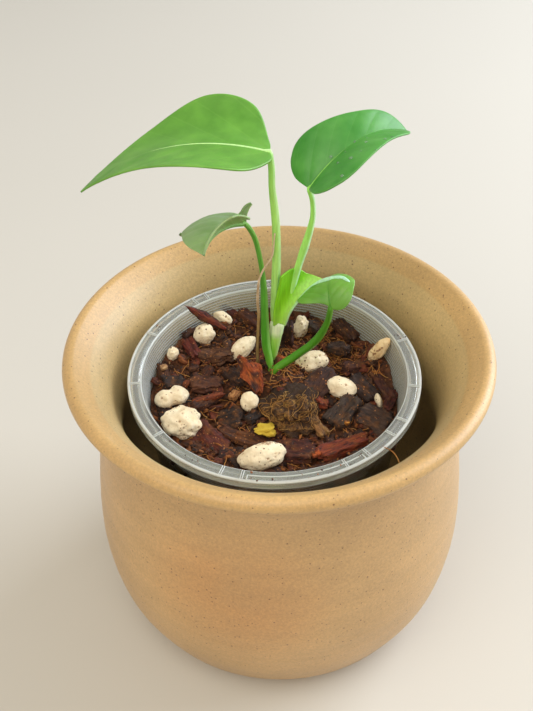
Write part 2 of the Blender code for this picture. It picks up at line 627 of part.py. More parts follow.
def blade(name, leaf, collection):
    """The blade: a flat grid laid in the outline and bent, split into triangles, then given its thickness."""
    spine = midrib(leaf, 1.0, 40)
    outlines = [blade_outline(leaf, side, leaf["steps"]) for side in (0, 1)]
    rows = len(outlines[0]) - 1
    shape = bmesh.new()
    bmesh.ops.create_grid(shape, x_segments=rows, y_segments=leaf["columns"], size=1)
    for vertex in shape.verts:
        row = round((vertex.co.x + 1) / 2 * rows)
        spread = vertex.co.y
        edge = outlines[0 if spread >= 0 else 1][row]
        middle = leaf["length"] * MM * row / rows
        u = middle + (edge.x - middle) * abs(spread)
        v = math.copysign(edge.y * abs(spread), spread)
        vertex.co = blade_point(leaf, spine, u, v)
    return thick_sheet(name, shape, LEAF_THICKNESS, collection)


def thick_sheet(name, shape, thickness, collection):
    """Splits a thin grid into triangles, so that both faces are waved alike, and gives it its thickness."""
    bmesh.ops.remove_doubles(shape, verts=shape.verts, dist=0.01 * MM)
    bmesh.ops.triangulate(shape, faces=shape.faces)
    obj = add_object(name, mesh_of(name, shape), collection)
    solid = obj.modifiers.new("Thickness", "SOLIDIFY")
    solid.thickness = thickness
    solid.offset = 0
    return frozen(obj)


def leaf_stalk(name, leaf, collection):
    """The petiole and, running on from it, the midrib that stands out under the blade."""
    path = path_of([*leaf["path"], leaf["foot"]], 2)
    points = [point.xyz for point in path]
    radii = [point.w for point in path]
    ribs = midrib(leaf, MIDRIB_REACH, 8)
    for index, (place, rise, heading) in enumerate(ribs[1:], 1):
        upright = blade_axes(leaf, MIDRIB_REACH * index / (len(ribs) - 1), rise, heading)[1]
        radius = leaf["foot"][3] * MM * (1 - index / len(ribs)) * 0.8 + 0.15 * MM
        points.append(place - upright * radius * 0.6)
        radii.append(radius)
    return tube(name, points, radii, 2, collection)


def sheet(name, shape_of, collection):
    """A thin sheet between two margins, hollow towards the front."""
    left = path_of(shape_of["left"], 2)
    right = path_of(shape_of["right"], 2)
    foot_hollow, top_hollow = shape_of["hollow"]
    rows = len(left) - 1
    shape = bmesh.new()
    bmesh.ops.create_grid(shape, x_segments=rows, y_segments=SHEET_COLUMNS, size=1)
    for vertex in shape.verts:
        row = round((vertex.co.x + 1) / 2 * rows)
        up = row / rows
        across = (vertex.co.y + 1) / 2
        back = (foot_hollow + (top_hollow - foot_hollow) * up) * math.sin(math.pi * across)
        raised = shape_of["arch"] * up * up * math.sin(math.pi * min(1, across / 0.6))
        vertex.co = left[row].lerp(right[row], across) + Vector((0, back, raised)) * MM
    return thick_sheet(name, shape, SHEET_THICKNESS, collection)


def leaves(collection):
    finish = material("leaf", (0.13, 0.36, 0.06), 0.4)
    sheets = {"leaf_right": SHEATH, "leaf_left_small": LOBE_OF_SMALL_LEAF}
    for name, leaf in LEAVES.items():
        stalk = leaf_stalk(name, leaf, collection)
        parts = [blade("blade", leaf, collection)]
        if name in sheets:
            parts.append(sheet("sheet", sheets[name], collection))
        combine(stalk, parts, "UNION")
        stalk.data.materials.clear()
        stalk.data.materials.append(finish)


def stem(name, points, finish, collection):
    path = path_of(points, 2)
    obj = tube(name, [point.xyz for point in path], [point.w for point in path], 2, collection)
    obj.data.materials.append(finish)
    return obj


def main():
    clear_scene()
    collection = new_collection("potted_monstera")
    frame = bpy.data.objects.new("nursery_frame", None)
    collection.objects.link(frame)
    frame.location = NURSERY_RIM_CENTRE
    frame.rotation_euler = (NURSERY_TILT, 0, 0)
    outer_pot(collection)
    nursery_pot(collection, frame)
    loose = pumice_stones(collection, frame)
    loose.append(bark_spear(collection, frame))
    loose.append(bark_wedge(collection, frame))
    moss = lump("moss_lump", MOSS_SIZE, MOSS_ROUGHNESS, 0.0, 3, collection,
                material("moss", (0.16, 0.12, 0.05), 0.95), frame)
    moss.location = MOSS_PLACE
    loose.append(moss)
    leaves(collection)
    stem("stem_crown", STEM_PATH, material("pale_stem", (0.52, 0.66, 0.30), 0.45), collection)
    stem("dry_sheath", DRY_SHEATH_PATH, material("dry_sheath", (0.62, 0.48, 0.30), 0.85), collection)
    mix = mix_body(collection, frame, material("bark_mix", (0.10, 0.045, 0.022), 0.9))
    chips_on_mix(mix, collection, frame)
    bpy.context.view_layer.update()
    cutters = [swollen_copy(piece, collection) for piece in loose]
    small, low = LEAVES["leaf_left_small"]["path"], LEAVES["leaf_low_right"]["path"]
    cutters.extend(stem_hole(points, collection) for points in (STEM_PATH, DRY_SHEATH_PATH, small, low))
    combine(mix, cutters, "DIFFERENCE")
    keep_largest_piece(mix)


main()
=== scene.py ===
"""Looks of the potted monstera: clay, plastic, bark mix, pumice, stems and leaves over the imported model.

Metres, +Z up. The origin is the centre of the outer pot's foot, and the photographed side faces -Y.
"""

import math
import random

import bmesh
import bpy
from bpy.props import FloatProperty, FloatVectorProperty, IntProperty, PointerProperty
from mathutils import Matrix, Vector, noise
from mathutils.bvhtree import BVHTree


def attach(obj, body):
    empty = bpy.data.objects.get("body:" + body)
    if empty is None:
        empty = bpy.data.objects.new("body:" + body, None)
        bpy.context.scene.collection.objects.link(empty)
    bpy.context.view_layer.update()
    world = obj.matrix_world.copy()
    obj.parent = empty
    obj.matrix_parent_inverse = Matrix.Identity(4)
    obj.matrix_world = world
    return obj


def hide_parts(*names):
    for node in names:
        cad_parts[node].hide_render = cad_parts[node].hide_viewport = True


bl_info = {
    "name": "Potted Monstera",
    "version": (1, 0, 0),
    "blender": (4, 5, 0),
    "location": "3D View > Sidebar > Monstera",
    "description": "Dresses a potted monstera model with detailed pieces and materials",
    "category": "Object",
}

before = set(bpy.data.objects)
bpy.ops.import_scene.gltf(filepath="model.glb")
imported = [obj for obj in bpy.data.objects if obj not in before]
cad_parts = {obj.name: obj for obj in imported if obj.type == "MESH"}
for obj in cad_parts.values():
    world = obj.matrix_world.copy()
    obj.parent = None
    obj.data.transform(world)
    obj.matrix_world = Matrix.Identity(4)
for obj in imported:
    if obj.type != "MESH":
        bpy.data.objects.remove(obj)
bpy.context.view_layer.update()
BODY = "root"
MM = 0.001

# Outer pot, as in the model's source: radius and height of the outside, the lip bead and the inside
RIM_RADIUS = 75 * MM
POT_HEIGHT = 121 * MM
LIP_BEAD = 2.8 * MM
FOOT_RADIUS = 54 * MM
OUTSIDE = [(70.0, 113.6), (66.4, 109.2), (64.0, 103), (64.6, 93), (66.5, 78), (68.2, 62), (69.0, 47),
           (68.3, 34), (65.6, 20), (60, 7)]
INSIDE = [(38.9, 10.3), (45.0, 14.2), (51.5, 19.8), (58.2, 29.5), (62.4, 43), (62.3, 58), (59.6, 75),
          (57.3, 88), (57.4, 97), (59.3, 105.6), (62.4, 112.2), (66.8, 117.6)]
FLOOR_RADIUS = 34.9 * MM
FLOOR_THICKNESS = 8 * MM
POT_STEPS = 200
LIP_FROM = 116.5 * MM  # height from which the clay has the lip's colour
LIP_ANGLES = range(128, -59, -6)  # degrees round the lip's bead, from its inner foot over the top
RING_PITCH = 2.6 * MM  # height of the wall over which the wheel's rings change
WARM_BOUNCE_PLACE = Vector((-16, -66, 64)) * MM  # painted warm bounce light, low on the front
WARM_BOUNCE_REACH = 42 * MM
MERGE = 0.002 * MM  # points of one skin that are nearer than this are joined

# Nursery pot, in its own frame: the rim's top face is z = 0 and the pot hangs below it
NURSERY = Matrix.Translation(Vector((-1.6, -0.6, 108.3)) * MM) @ Matrix.Rotation(math.radians(2.25), 4, "X")
NURSERY_RADIUS = 52 * MM
NURSERY_MOUTH = 46.9 * MM
NURSERY_DEPTH = 98.7 * MM
NURSERY_FOOT = 36.5 * MM
NURSERY_WALL = 1.1 * MM
NURSERY_SKIRT = 3 * MM
NURSERY_RECESS = 1.5 * MM
RIB_BEARINGS = (-174, -143, -111, -103, -63, -53, -39, -30, -10, 18, 54, 90, 121, 127, 155)
RIB_BAR = (4.0 * MM, 0.28 * MM, 0.5 * MM)
RIB_HALF_GAP = 0.35 * MM  # from a rib's middle to each of its two bars
RIB_HEIGHT = 0.08 * MM
LOOP_BEARINGS = (-101, -55)  # where the raised loop on the rim starts and ends
LOOP_RADII = (49.2 * MM, 51.2 * MM)
LOOP_HEIGHT = 0.1 * MM
LOOP_THICKNESS = 0.22 * MM
WALL_RIDGE_PITCH = 1.2 * MM
WALL_RIDGE_RELIEF = 0.22 * MM
WALL_RIDGE_ROWS = 14
RIM_UNDERSIDE = 1.3 * MM
DRAIN_CIRCLE = 25 * MM
DRAIN_HOLES = [(0, 0, 4.5 * MM)] + [
    (DRAIN_CIRCLE * math.cos(math.tau * turn / 8), DRAIN_CIRCLE * math.sin(math.tau * turn / 8), 3 * MM)
    for turn in range(8)
]
GAP = 0.3 * MM

# Potting mix, in the nursery pot's frame
MIX_DEPTH = 14.5 * MM
MIX_SLOPE_RIGHT = 2.0 * MM
MIX_RISE_BACK = 4.0 * MM
MIX_WALL_RISE = 3.0 * MM
MIX_WALL_REACH = 8 * MM
MIX_MOUNDS = [((4, 8), 5.0, 14), ((37, 16), 5.0, 8), ((-19, 34), 1.6, 5), ((-5, -1), -1.4, 4)]
MIX_ROUGHNESS = 1.0 * MM
MIX_CELLS = 150

# Large chips seen in the photograph: place, height, length, width, thickness, turn and tilt in degrees,
# colour
CHIPS = [
    (-25.2, 7.5, -12.0, 10.5, 9.5, 3.4, 5, 4, "#6a452f"),
    (-22.4, 21.0, -10.6, 12.8, 8.4, 3.0, -27, -6, "#6b4c30"),
    (-30.8, 23.5, -9.2, 9.1, 4.6, 2.6, -61, 8, "#7a3018"),
    (-24.1, -2.6, -11.6, 13.2, 3.6, 2.4, 40, 6, "#5a3722"),
    (-16.0, -9.9, -13.0, 9.3, 8.6, 3.8, -4, -8, "#3a2a20"),
    (-24.0, -20.1, -13.6, 15.2, 11.5, 3.6, -45, 5, "#6e2f14"),
    (-10.9, -19.2, -13.6, 17.7, 5.4, 3.0, -22, 3, "#6b4420"),
    (-15.3, -25.7, -14.4, 8.8, 5.6, 3.0, -10, 0, "#3d2518"),
    (-37.1, 7.2, -11.4, 7.8, 6.4, 3.2, 23, 7, "#3a2a20"),
    (15.7, 34.4, -8.6, 5.9, 5.2, 2.4, 22, 12, "#4a4038"),
    (16.2, 5.0, -11.2, 14.1, 9.5, 3.4, 47, -9, "#4f3530"),
    (16.7, -3.8, -12.0, 4.6, 3.6, 2.4, -15, 10, "#a04a20"),
    (32.4, 4.1, -12.6, 11.3, 7.0, 3.0, -49, 8, "#40302e"),
    (24.8, -7.0, -13.0, 13.4, 8.2, 3.4, 54, -5, "#4a4038"),
    (35.3, -9.8, -14.6, 12.1, 11.0, 3.2, -25, 6, "#544540"),
    (42.0, -0.8, -14.4, 12.0, 3.6, 2.4, 69, 4, "#5a2015"),
    (7.0, -24.1, -14.4, 14.0, 11.8, 3.6, -29, -6, "#5c2a18"),
    (23.2, -23.2, -14.2, 21.4, 6.2, 3.2, 29, 3, "#9a4a20"),
    (-8.5, 39.1, -8.4, 10.5, 4.8, 2.8, -36, 5, "#5a3218"),
    (-17.0, 43.2, -7.4, 8.0, 2.8, 2.0, -38, 8, "#6a3020"),
    (2.5, 15.7, -8.4, 4.1, 2.2, 1.8, -9, 10, "#c06820"),
    (25.0, 22.7, -9.6, 8.6, 5.6, 3.0, -33, -7, "#4a3a36"),
    (31.3, 14.5, -11.2, 11.7, 4.8, 2.8, 23, 4, "#5a3424"),
    (39.5, 6.1, -13.4, 14.2, 5.0, 2.6, -64, 5, "#4a2018"),
    (-39.6, -7.1, -12.4, 9.7, 4.4, 2.8, -69, 4, "#38271e"),
    (-14.0, 9.4, -11.0, 12.3, 5.6, 3.0, -53, -8, "#402a1e"),
    (-7.4, -9.6, -12.8, 8.5, 4.6, 2.8, 48, 5, "#33241c"),
    (-4.7, -37.5, -14.4, 8.9, 4.4, 2.6, -19, 4, "#5a3a24"),
    (-30.5, -30.0, -14.4, 11.0, 6.5, 3.0, -40, 5, "#4a2e1e"),
    (12.5, -36.0, -14.8, 12.0, 6.2, 3.0, 14, -4, "#4d2b1c"),
    (30.0, -28.0, -15.2, 10.0, 6.8, 3.0, 52, 7, "#3c2a22"),
    (-41.0, 12.0, -10.8, 7.0, 4.4, 2.4, -75, 6, "#5d3c26"),
    (0.5, 26.0, -10.0, 9.0, 6.0, 3.0, 15, -6, "#4a3024"),
    (28.0, 33.0, -9.6, 11.0, 6.0, 3.0, -52, 6, "#54341f"),
    (-31.5, 33.0, -9.0, 9.0, 5.5, 2.8, 48, 5, "#4c2f20"),
    (40.5, -18.5, -15.4, 9.0, 5.5, 2.8, 60, 5, "#4e3328"),
]
# Odd pieces: place, height, length, width, thickness, turn in degrees, colour
BITS = [
    (-14.6, -1.1, -10.6, 4.2, 3.2, 2.0, 60, "#cdaa7a"), (-40.6, 12.1, -8.8, 2.4, 1.6, 1.6, 20, "#f0e2c4"),
    (25.3, -14.9, -11.4, 1.8, 1.4, 1.0, 10, "#dca638"), (13.8, -28.8, -12.4, 3.2, 1.8, 1.4, 30, "#d0702c"),
    (15.3, -16.6, -11.6, 8.5, 4.0, 1.4, -62, "#a8905e"), (-24.0, -2.2, -10.8, 12.4, 2.0, 1.8, 21, "#9a5428"),
]
SMALL_CHIPS = 330
SMALL_CHIP_COLOURS = ("#54301a", "#7a4524", "#40260f", "#8a4e24", "#66452c", "#9a6232", "#3a2415", "#7a3a1a",
                      "#5c4432")
CRUMBS = 3400
CRUMB_COLOURS = ("#5a351c", "#7c4f2a", "#38200f", "#94612f", "#4a2e1a", "#b07c40")
SPILT = 60  # crumbs that lie on the nursery pot's rim
SPILT_BEARINGS = (-55, -60, -66, -72, -80, -90, -96, -125, -140, 150, 60, 20)
GRIT = 90
GRIT_COLOUR = "#d8c39c"
FIBRES = 420
FIBRE_STEP = 1.1 * MM
ROOT_OVER_RIM = [(34.8, -36.2, -0.4), (36.7, -38.3, 0.5), (38.4, -39.9, 0.4), (39.8, -41.2, -1.4),
                 (40.6, -42.4, -3.6)]
ROOT_OVER_RIM_RADIUS = 0.16 * MM

# Pumice stones, as in the model's source: centre, size, turn, tilt, roughness, waist, and extra bulges as
# (direction from the centre, height in millimetres, spread)
STONES = {
    "pumice_back_left": ((-26.1, 29.4, -8.0), (8.2, 7.2, 8.6), 20, 8, 0.10, 0.0, []),
    "pumice_far_left": ((-19.4, 37.8, -7.2), (7.8, 4.8, 5.2), -15, 14, 0.14, 0.0, []),
    "pumice_by_stem": ((-11.5, 22.7, -9.0), (11.6, 6.6, 6.4), 36, -22, 0.08, 0.0, []),
    "pumice_small_left": ((-37.8, 20.4, -9.5), (4.6, 4.0, 4.8), 60, 0, 0.16, 0.0, []),
    "pumice_two_lobed": ((-37.0, -2.2, -10.0), (12.6, 8.2, 8.0), 24, 0, 0.08, 0.30, []),
    "pumice_rough": ((-32.8, -14.6, -10.4), (12.6, 13.4, 10.4), 70, 12, 0.24, 0.0,
                     [((0.5, 0.2, 0.85), 0.7, 0.22), ((-0.2, 0.75, 0.6), 0.5, 0.3),
                      ((0.1, -0.7, 0.7), 0.6, 0.2)]),
    "pumice_centre": ((-9.0, -4.2, -11.0), (6.6, 6.4, 7.6), 0, 14, 0.09, 0.0, []),
    "pumice_front": ((-4.7, -30.2, -11.2), (16.6, 9.6, 8.6), 12, -6, 0.10, 0.0, []),
    "pumice_back_right": ((10.6, 33.9, -9.0), (5.6, 5.4, 8.6), 25, 22, 0.26, 0.0, []),
    "pumice_pitted": ((14.2, 15.2, -9.8), (12.4, 8.0, 7.2), 12, -8, 0.10, 0.0, []),
    "pumice_right": ((24.4, 3.2, -11.8), (11.2, 8.2, 7.6), -22, 8, 0.07, 0.0, []),
    "pumice_tan": ((39.1, 16.4, -5.3), (5.0, 4.8, 11.8), 8, 36, 0.09, 0.0, []),
    "pumice_sliver": ((37.8, -1.0, -15.0), (2.6, 4.4, 7.2), 10, -10, 0.10, 0.0, []),
}
# How soiled a stone is, and where a dark stain lies on it, as (direction, spread); on the pitted stone the
# dark patch on its right side is painted shade
SOILED_OTHERS = 0.4
SOILED = {"pumice_pitted": 1.0, "pumice_front": 0.75, "pumice_back_left": 0.8, "pumice_far_left": 0.7,
          "pumice_rough": 0.6, "pumice_back_right": 0.8, "pumice_small_left": 0.8}
NO_STAIN = ((0, 0, -1), 0.3)  # under the stone, where the mix hides it
STAINS_AND_SHADE = {"pumice_front": ((0.35, 0.45, 0.8), 0.34), "pumice_pitted": ((0.9, 0.1, 0.4), 0.42),
          "pumice_two_lobed": ((0.05, -0.2, 0.9), 0.22), "pumice_tan": ((-0.5, -0.7, 0.1), 0.3),
          "pumice_back_left": ((-0.6, -0.1, 0.8), 0.3), "pumice_rough": ((0.7, -0.5, 0.3), 0.32)}
LARGE_STONE = 11  # millimetres across, past which a stone gets the finer sphere

# Loose pieces that stand out of the mix, as in the model's source
SPEAR = (Vector((-18.4, 33.2, -8.6)) * MM, Vector((-32.7, 28.8, 7.0)) * MM)
SPEAR_THICKNESS = 1.5 * MM
SPEAR_WIDTHS = [(0, 0.9 * MM), (0.3, 1.5 * MM), (0.55, 1.95 * MM), (0.75, 1.3 * MM), (1, 0.08 * MM)]
WEDGE = (Vector((-5.4, 0.6, -11.2)) * MM, Vector((-12.9, 12.0, -4.2)) * MM)
WEDGE_SIZE = (7.4 * MM, 2.4 * MM)
WEDGE_BOW = 1.4 * MM
WEDGE_WIDTHS = [(0, 0.32), (0.28, 0.72), (0.55, 1.08), (0.78, 0.46), (1, 0.26)]
FACING = Vector((0, -0.76, 0.65))
MOSS_PLACE = Vector((6.6, -7.6, -12.2)) * MM
MOSS_SIZE = Vector((19.0, 21.5, 11.5)) * MM
MOSS_ROUGHNESS = 0.34
YELLOW_PLACE = Vector((-2.9, -18.2, -11.0)) * MM
YELLOW_SIZE = (3.4, 2.3, 1.5)  # half its length, width and height in millimetres
BALL_FIBRES = 46

# Stem and petioles, as in the model's source: points of each path in millimetres, each with the radius there
STEM_PATH = [(-2.6, 16.0, 86, 1.4), (-2.3, 16.2, 98, 1.5), (-1.9, 16.6, 102, 1.8), (-1.2, 16.8, 107, 2.1),
             (-0.7, 17.0, 111, 2.3), (-0.2, 17.2, 115.4, 2.6), (0.1, 17.6, 116.8, 1.9)]
DRY_SHEATH_PATH = [(-7.9, 13.9, 88, 0.9), (-7.6, 13.9, 99, 0.8), (-7.6, 13.8, 106, 0.6),
                   (-7.1, 13.6, 116, 0.55), (-6.8, 13.0, 123, 0.5), (-7.1, 12.5, 130, 0.45),
                   (-6.4, 12.7, 138.6, 0.4), (-4.5, 13.5, 143.2, 0.4), (-2.0, 14.2, 147, 0.4),
                   (-1.3, 14.0, 152, 0.4), (-0.9, 13.9, 157, 0.4)]
LEAVES = {
    "leaf_left_large": {
        "path": [(-0.9, 17.5, 116, 1.5), (-1.0, 17.5, 122, 1.6), (-0.7, 17.1, 133, 1.6),
                 (-0.3, 16.5, 146.5, 1.5), (-0.4, 16.0, 157, 1.4), (-0.9, 15.4, 166, 1.35),
                 (-1.6, 15.0, 174, 1.15), (-1.7, 14.9, 181, 1.1)],
        "foot": (-2.2, 14.8, 187.5, 1.0),
        "length": 67, "half_width": (23.2, 25.8),
        "widest": 0.34, "shoulder": 0.63, "taper": 0.30,
        "lobe": ((0.8, 0.27), (-1.3, 0.27)),
        "heading": 169.5, "turn": 16.7, "rise": 10.5, "droop": -43, "bend": 1.2,
        "roll": (1, 11), "fold": (-3, -10), "curl": (-23, -44), "flare": (0, 0),
    },
    "leaf_right": {
        "path": [(2.4, 18.2, 116.2, 1.1), (3.0, 17.9, 120.6, 1.2), (4.1, 17.9, 125.7, 1.2),
                 (5.3, 18.3, 131, 1.2), (6.6, 18.5, 137, 1.25), (8.0, 18.3, 143, 1.3),
                 (9.4, 17.9, 148.6, 1.45), (11.1, 17.3, 156, 1.2), (12.0, 16.7, 162.3, 0.95),
                 (11.7, 16.3, 168.5, 0.9)],
        "foot": (10.6, 15.9, 173.0, 0.95),
        "length": 47, "half_width": (14.8, 15.0),
        "widest": 0.26, "shoulder": 0.67, "taper": 0.47,
        "lobe": ((-0.2, 0.48), (-0.2, 0.48)),
        "heading": 30, "turn": 9, "rise": 48, "droop": -38.5, "bend": 1.2,
        "roll": (-4, 15.5), "fold": (26, 28.5), "curl": (22, 24), "flare": (0, 0),
    },
    "leaf_left_small": {
        "path": [(-2.2, 12.2, 88, 1.1), (-2.6, 12.5, 97, 1.2), (-3.4, 13.1, 102.6, 1.4),
                 (-4.3, 13.6, 108, 1.6), (-4.7, 14.0, 115.4, 1.6), (-4.8, 14.2, 124.4, 1.4),
                 (-4.9, 14.7, 133, 1.2), (-5.5, 15.5, 142, 0.9), (-7.2, 15.6, 152.6, 0.9),
                 (-9.2, 15.1, 158.2, 0.9)],
        "foot": (-11.1, 14.4, 161.2, 0.85),
        "length": 23.9, "half_width": (11.8, 15.4),
        "widest": 0.54, "shoulder": 0.88, "taper": 0.50,
        "lobe": ((-1.6, 0.16), (1.8, 0.24)),
        "heading": 212, "turn": 48, "rise": 19, "droop": -18, "bend": 1.0,
        "roll": (30, 48), "fold": (30, 45), "curl": (35.6, 37.5), "flare": (-3.7, -2.1),
    },
    "leaf_low_right": {
        "path": [(-3.0, 9.0, 88, 1.0), (-2.6, 9.4, 95, 1.1), (-1.2, 10.1, 99.4, 1.3), (1.7, 10.4, 102, 1.5),
                 (5.0, 10.3, 104.9, 1.5), (8.3, 10.0, 108.1, 1.5), (11.1, 9.6, 111, 1.5),
                 (13.5, 9.0, 114.4, 1.5), (15.4, 8.3, 118.2, 1.35), (16.7, 7.5, 122, 1.2),
                 (17.6, 6.7, 126, 1.1)],
        "foot": (18.1, 5.5, 131.5, 1.0),
        "length": 18.4, "half_width": (12.8, 9.6),
        "widest": 0.43, "shoulder": 0.82, "taper": 0.29,
        "lobe": ((-1.9, 0.20), (0.4, 0.40)),
        "heading": 107, "turn": -41.6, "rise": 69, "droop": -55, "bend": 1.0,
        "roll": (-28, -27), "fold": (-1, 5), "curl": (22.5, 57), "flare": (2.7, 3.6),
    },
}
SHEATH = {
    "left": [(-1.6, 14.6, 116.7), (-1.5, 14.4, 121.4), (-0.9, 14.3, 126.9), (0.0, 14.3, 131.8),
             (0.7, 14.2, 135.7), (1.1, 14.3, 138.6)],
    "right": [(2.6, 14.6, 117.0), (4.2, 14.4, 122.6), (6.6, 15.0, 126.8), (9.8, 16.3, 130.4),
              (13.2, 17.9, 132.3), (16.4, 19.4, 133.5)],
    "hollow": (1.2, 3.4), "arch": 2.0,
}
# The rolled margin that runs up the sheath, and the band that carries on over the crest of the low leaf: its
# pale colour is a painted highlight, and over the crest the band is painted highlight only
MARGIN_AND_CREST_HIGHLIGHT = [(2.6, 14.5, 117.0, 0.35), (4.2, 14.2, 122.6, 0.45), (6.6, 14.7, 126.8, 0.5),
                 (9.8, 15.8, 130.6, 0.6), (12.9, 15.9, 133.7, 0.7), (15.5, 15.1, 136.0, 0.75),
                 (18.5, 14.2, 137.8, 0.75), (21.9, 12.9, 139.0, 0.7), (23.9, 11.0, 139.2, 0.5),
                 (25.2, 9.6, 138.8, 0.2)]
# Water drops on the right-hand leaf: place and radius in millimetres
DROPS = [(17.7, 21.3, 181.6, 0.55), (25.7, 25.4, 184.6, 0.5), (28.9, 21.6, 186.7, 0.6),
         (23.6, 14.4, 185.1, 0.65), (35.0, 21.4, 187.8, 0.5), (37.4, 23.0, 187.6, 0.4),
         (20.4, 7.7, 182.6, 0.6), (31.5, 15.1, 187.5, 0.4), (19.6, 15.4, 182.8, 0.45),
         (26.9, 16.5, 186.4, 0.35), (29.6, 24.6, 186.0, 0.3), (22.4, 20.2, 183.6, 0.3)]
LOBE_OF_SMALL_LEAF = {
    "left": [(-13.1, 14.4, 161.2), (-13.2, 14.6, 163.6), (-12.0, 15.0, 165.2), (-11.0, 15.4, 166.7),
             (-9.8, 15.8, 167.5), (-8.9, 16.0, 167.7)],
    "right": [(-10.3, 14.6, 160.4), (-10.2, 14.8, 162.4), (-10.0, 15.0, 164.0), (-9.5, 15.3, 165.4),
              (-8.9, 15.7, 166.6), (-8.3, 16.0, 167.4)],
    "hollow": (0.3, 0.6), "arch": 0.0,
}
MIDRIB_REACH = 0.86
BLADE_STEPS = 18  # rows of the blade's grid to each span of its outline
BLADE_COLUMNS = 56
BLADE_MERGE = 0.01 * MM
SIDE_VEINS = 11
VEIN_SWEEP = 0.42  # how far a side vein runs forwards on its way to the margin
SHEATH_THICKNESS = 0.7 * MM
LOBE_THICKNESS = 0.6 * MM
DROP_FLATTENING = 0.5

# Colours of each leaf: its upper face in shade and light, and its veins
LEAF_TONES = {
    "leaf_left_large": ("#528d28", "#6aa539", "#8cba58"),
    "leaf_right": ("#378628", "#559c42", "#7db466"),
    "leaf_left_small": ("#7d9c62", "#9ab680", "#c0ce9c"),
    "leaf_low_right": ("#5c9630", "#76a843", "#a8d080"),
}
# Colours of each petiole: (share of its length, colour) stops, and its lit side
STALK_TONES = {
    "leaf_left_large": ([(0.0, "#c4f290"), (1.0, "#9cdc68"), (0.25, "#b8f07c"), (0.6, "#a4e468")], "#d4f8b4"),
    "leaf_right": ([(0.0, "#bcf08c"), (1.0, "#8ccc58"), (0.3, "#b0f078"), (0.6, "#a4e86c")], "#dcfae0"),
    "leaf_left_small": ([(0.0, "#90d44c"), (1.0, "#7aa04c"), (0.25, "#4c9a26"), (0.6, "#5aa434")], "#9cd46c"),
    "leaf_low_right": ([(0.0, "#6cb030"), (1.0, "#5c9c2c"), (0.3, "#4c9020"), (0.6, "#488a1e")], "#7cb83c"),
}
SHEATH_TONES = ([(0.0, "#a8e050"), (1.0, "#84cc28"), (0.4, "#8ed820")], "#b8e474")
MARGIN_HIGHLIGHT_TONES = ([(0.0, "#b4e088"), (1.0, "#b8e8cc"), (0.45, "#bcecc4")], "#dcf6ea")
CROWN_TONES = ([(0.0, "#7cae3c"), (1.0, "#f2fcdc"), (0.45, "#98d850"), (0.62, "#b0e468"), (0.74, "#eafacc")],
               "#d4f0a8")

# Camera and stage
CAMERA_ELEVATION = math.radians(40.4795)
CAMERA_DISTANCE = 374.187 * MM
CAMERA_ROLL = math.radians(-0.8878)
CAMERA_AIM = Vector((-4.267, 0, 115.192)) * MM
# The solved focal length over the photograph's height, both in pixels, for a sensor 36 mm high
CAMERA_LENS = 1066 / 711 * 36
FLOOR_HALF_WIDTH = 3
ROOM_STRENGTH = 0.60
# Lamps: place and width in metres
WINDOW = ((1.0, 0.45, 0.62), 1.2)
ROOM_FILL = ((-0.30, -0.60, 1.10), 1.2)

# Sockets of Blender's colour Mix node
FACTOR, COLOUR_A, COLOUR_B, COLOUR_OUT = 0, 6, 7, 2


def linear(code):
    """The linear colour of an sRGB hex value, with full opacity."""
    values = [int(code[place:place + 2], 16) / 255 for place in (1, 3, 5)]
    return (*[value / 12.92 if value <= 0.04045 else ((value + 0.055) / 1.055) ** 2.4 for value in values], 1)


def per(millimetres):
    """The scale of a pattern on Object coordinates whose features are this far apart."""
    return 1 / (millimetres * MM)


def colour_setting(name, description, code):
    """A colour that a user can change, its default given as a hex value."""
    return FloatVectorProperty(name=name, description=description, subtype="COLOR", size=4, min=0, max=1,
                               default=linear(code))


class PotSettings(bpy.types.PropertyGroup):
    clay: colour_setting("Clay", "Colour of the fired clay", "#c29c68")
    specks: colour_setting("Specks", "Colour of the iron specks", "#5d3a20")
    throwing_rings: FloatProperty(name="Throwing rings", description="Height of the rings left by the wheel",
                                  unit="LENGTH", default=0.10 * MM, min=0, max=MM)
    plastic: colour_setting("Plastic", "Tint of the clear nursery pot", "#e6eae6")


class MixSettings(bpy.types.PropertyGroup):
    chips: IntProperty(name="Small chips", description="Small bark chips strewn on the mix",
                       default=SMALL_CHIPS, min=0, max=2 * SMALL_CHIPS)
    crumbs: IntProperty(name="Crumbs", description="Crumbs of bark and peat",
                        default=CRUMBS, min=0, max=2 * CRUMBS)
    fibres: IntProperty(name="Fibres", description="Coir fibres and thin roots",
                        default=FIBRES, min=0, max=2 * FIBRES)
    soil: colour_setting("Soil", "Colour of the mix between the chips", "#5c3820")


class StoneSettings(bpy.types.PropertyGroup):
    pits: FloatProperty(name="Pits", description="Depth of the pumice's open pores", unit="LENGTH",
                        default=0.45 * MM, min=0, max=2 * MM)


class LeafSettings(bpy.types.PropertyGroup):
    thickness: FloatProperty(name="Blade thickness", description="Thickness of a leaf blade", unit="LENGTH",
                             default=0.6 * MM, min=0.2 * MM, max=2 * MM)
    vein_relief: FloatProperty(name="Vein relief", description="How far the blade swells between its veins",
                               unit="LENGTH", default=0.20 * MM, min=0, max=MM)


class StageSettings(bpy.types.PropertyGroup):
    floor: colour_setting("Floor", "Colour of the floor", "#c6c2b8")
    key: FloatProperty(name="Window light", description="Power of the large light on the right, in watts",
                       default=22.0, min=0, max=100)
    fill: FloatProperty(name="Fill light", description="Power of the soft light above the front, in watts",
                        default=9.5, min=0, max=100)


def smooth_curve(points, steps):
    """Points of a Catmull-Rom curve through the given ones, steps to a span, both ends included."""
    given = [Vector(point) for point in points]
    given = [2 * given[0] - given[1], *given, 2 * given[-1] - given[-2]]
    curve = []
    for a, b, c, d in zip(given, given[1:], given[2:], given[3:]):
        for step in range(steps):
            t = step / steps
            curve.append(0.5 * (2 * b + (c - a) * t + (2 * a - 5 * b + 4 * c - d) * t**2
                                + (3 * b - a - 3 * c + d) * t**3))
    curve.append(given[-2])
    return curve


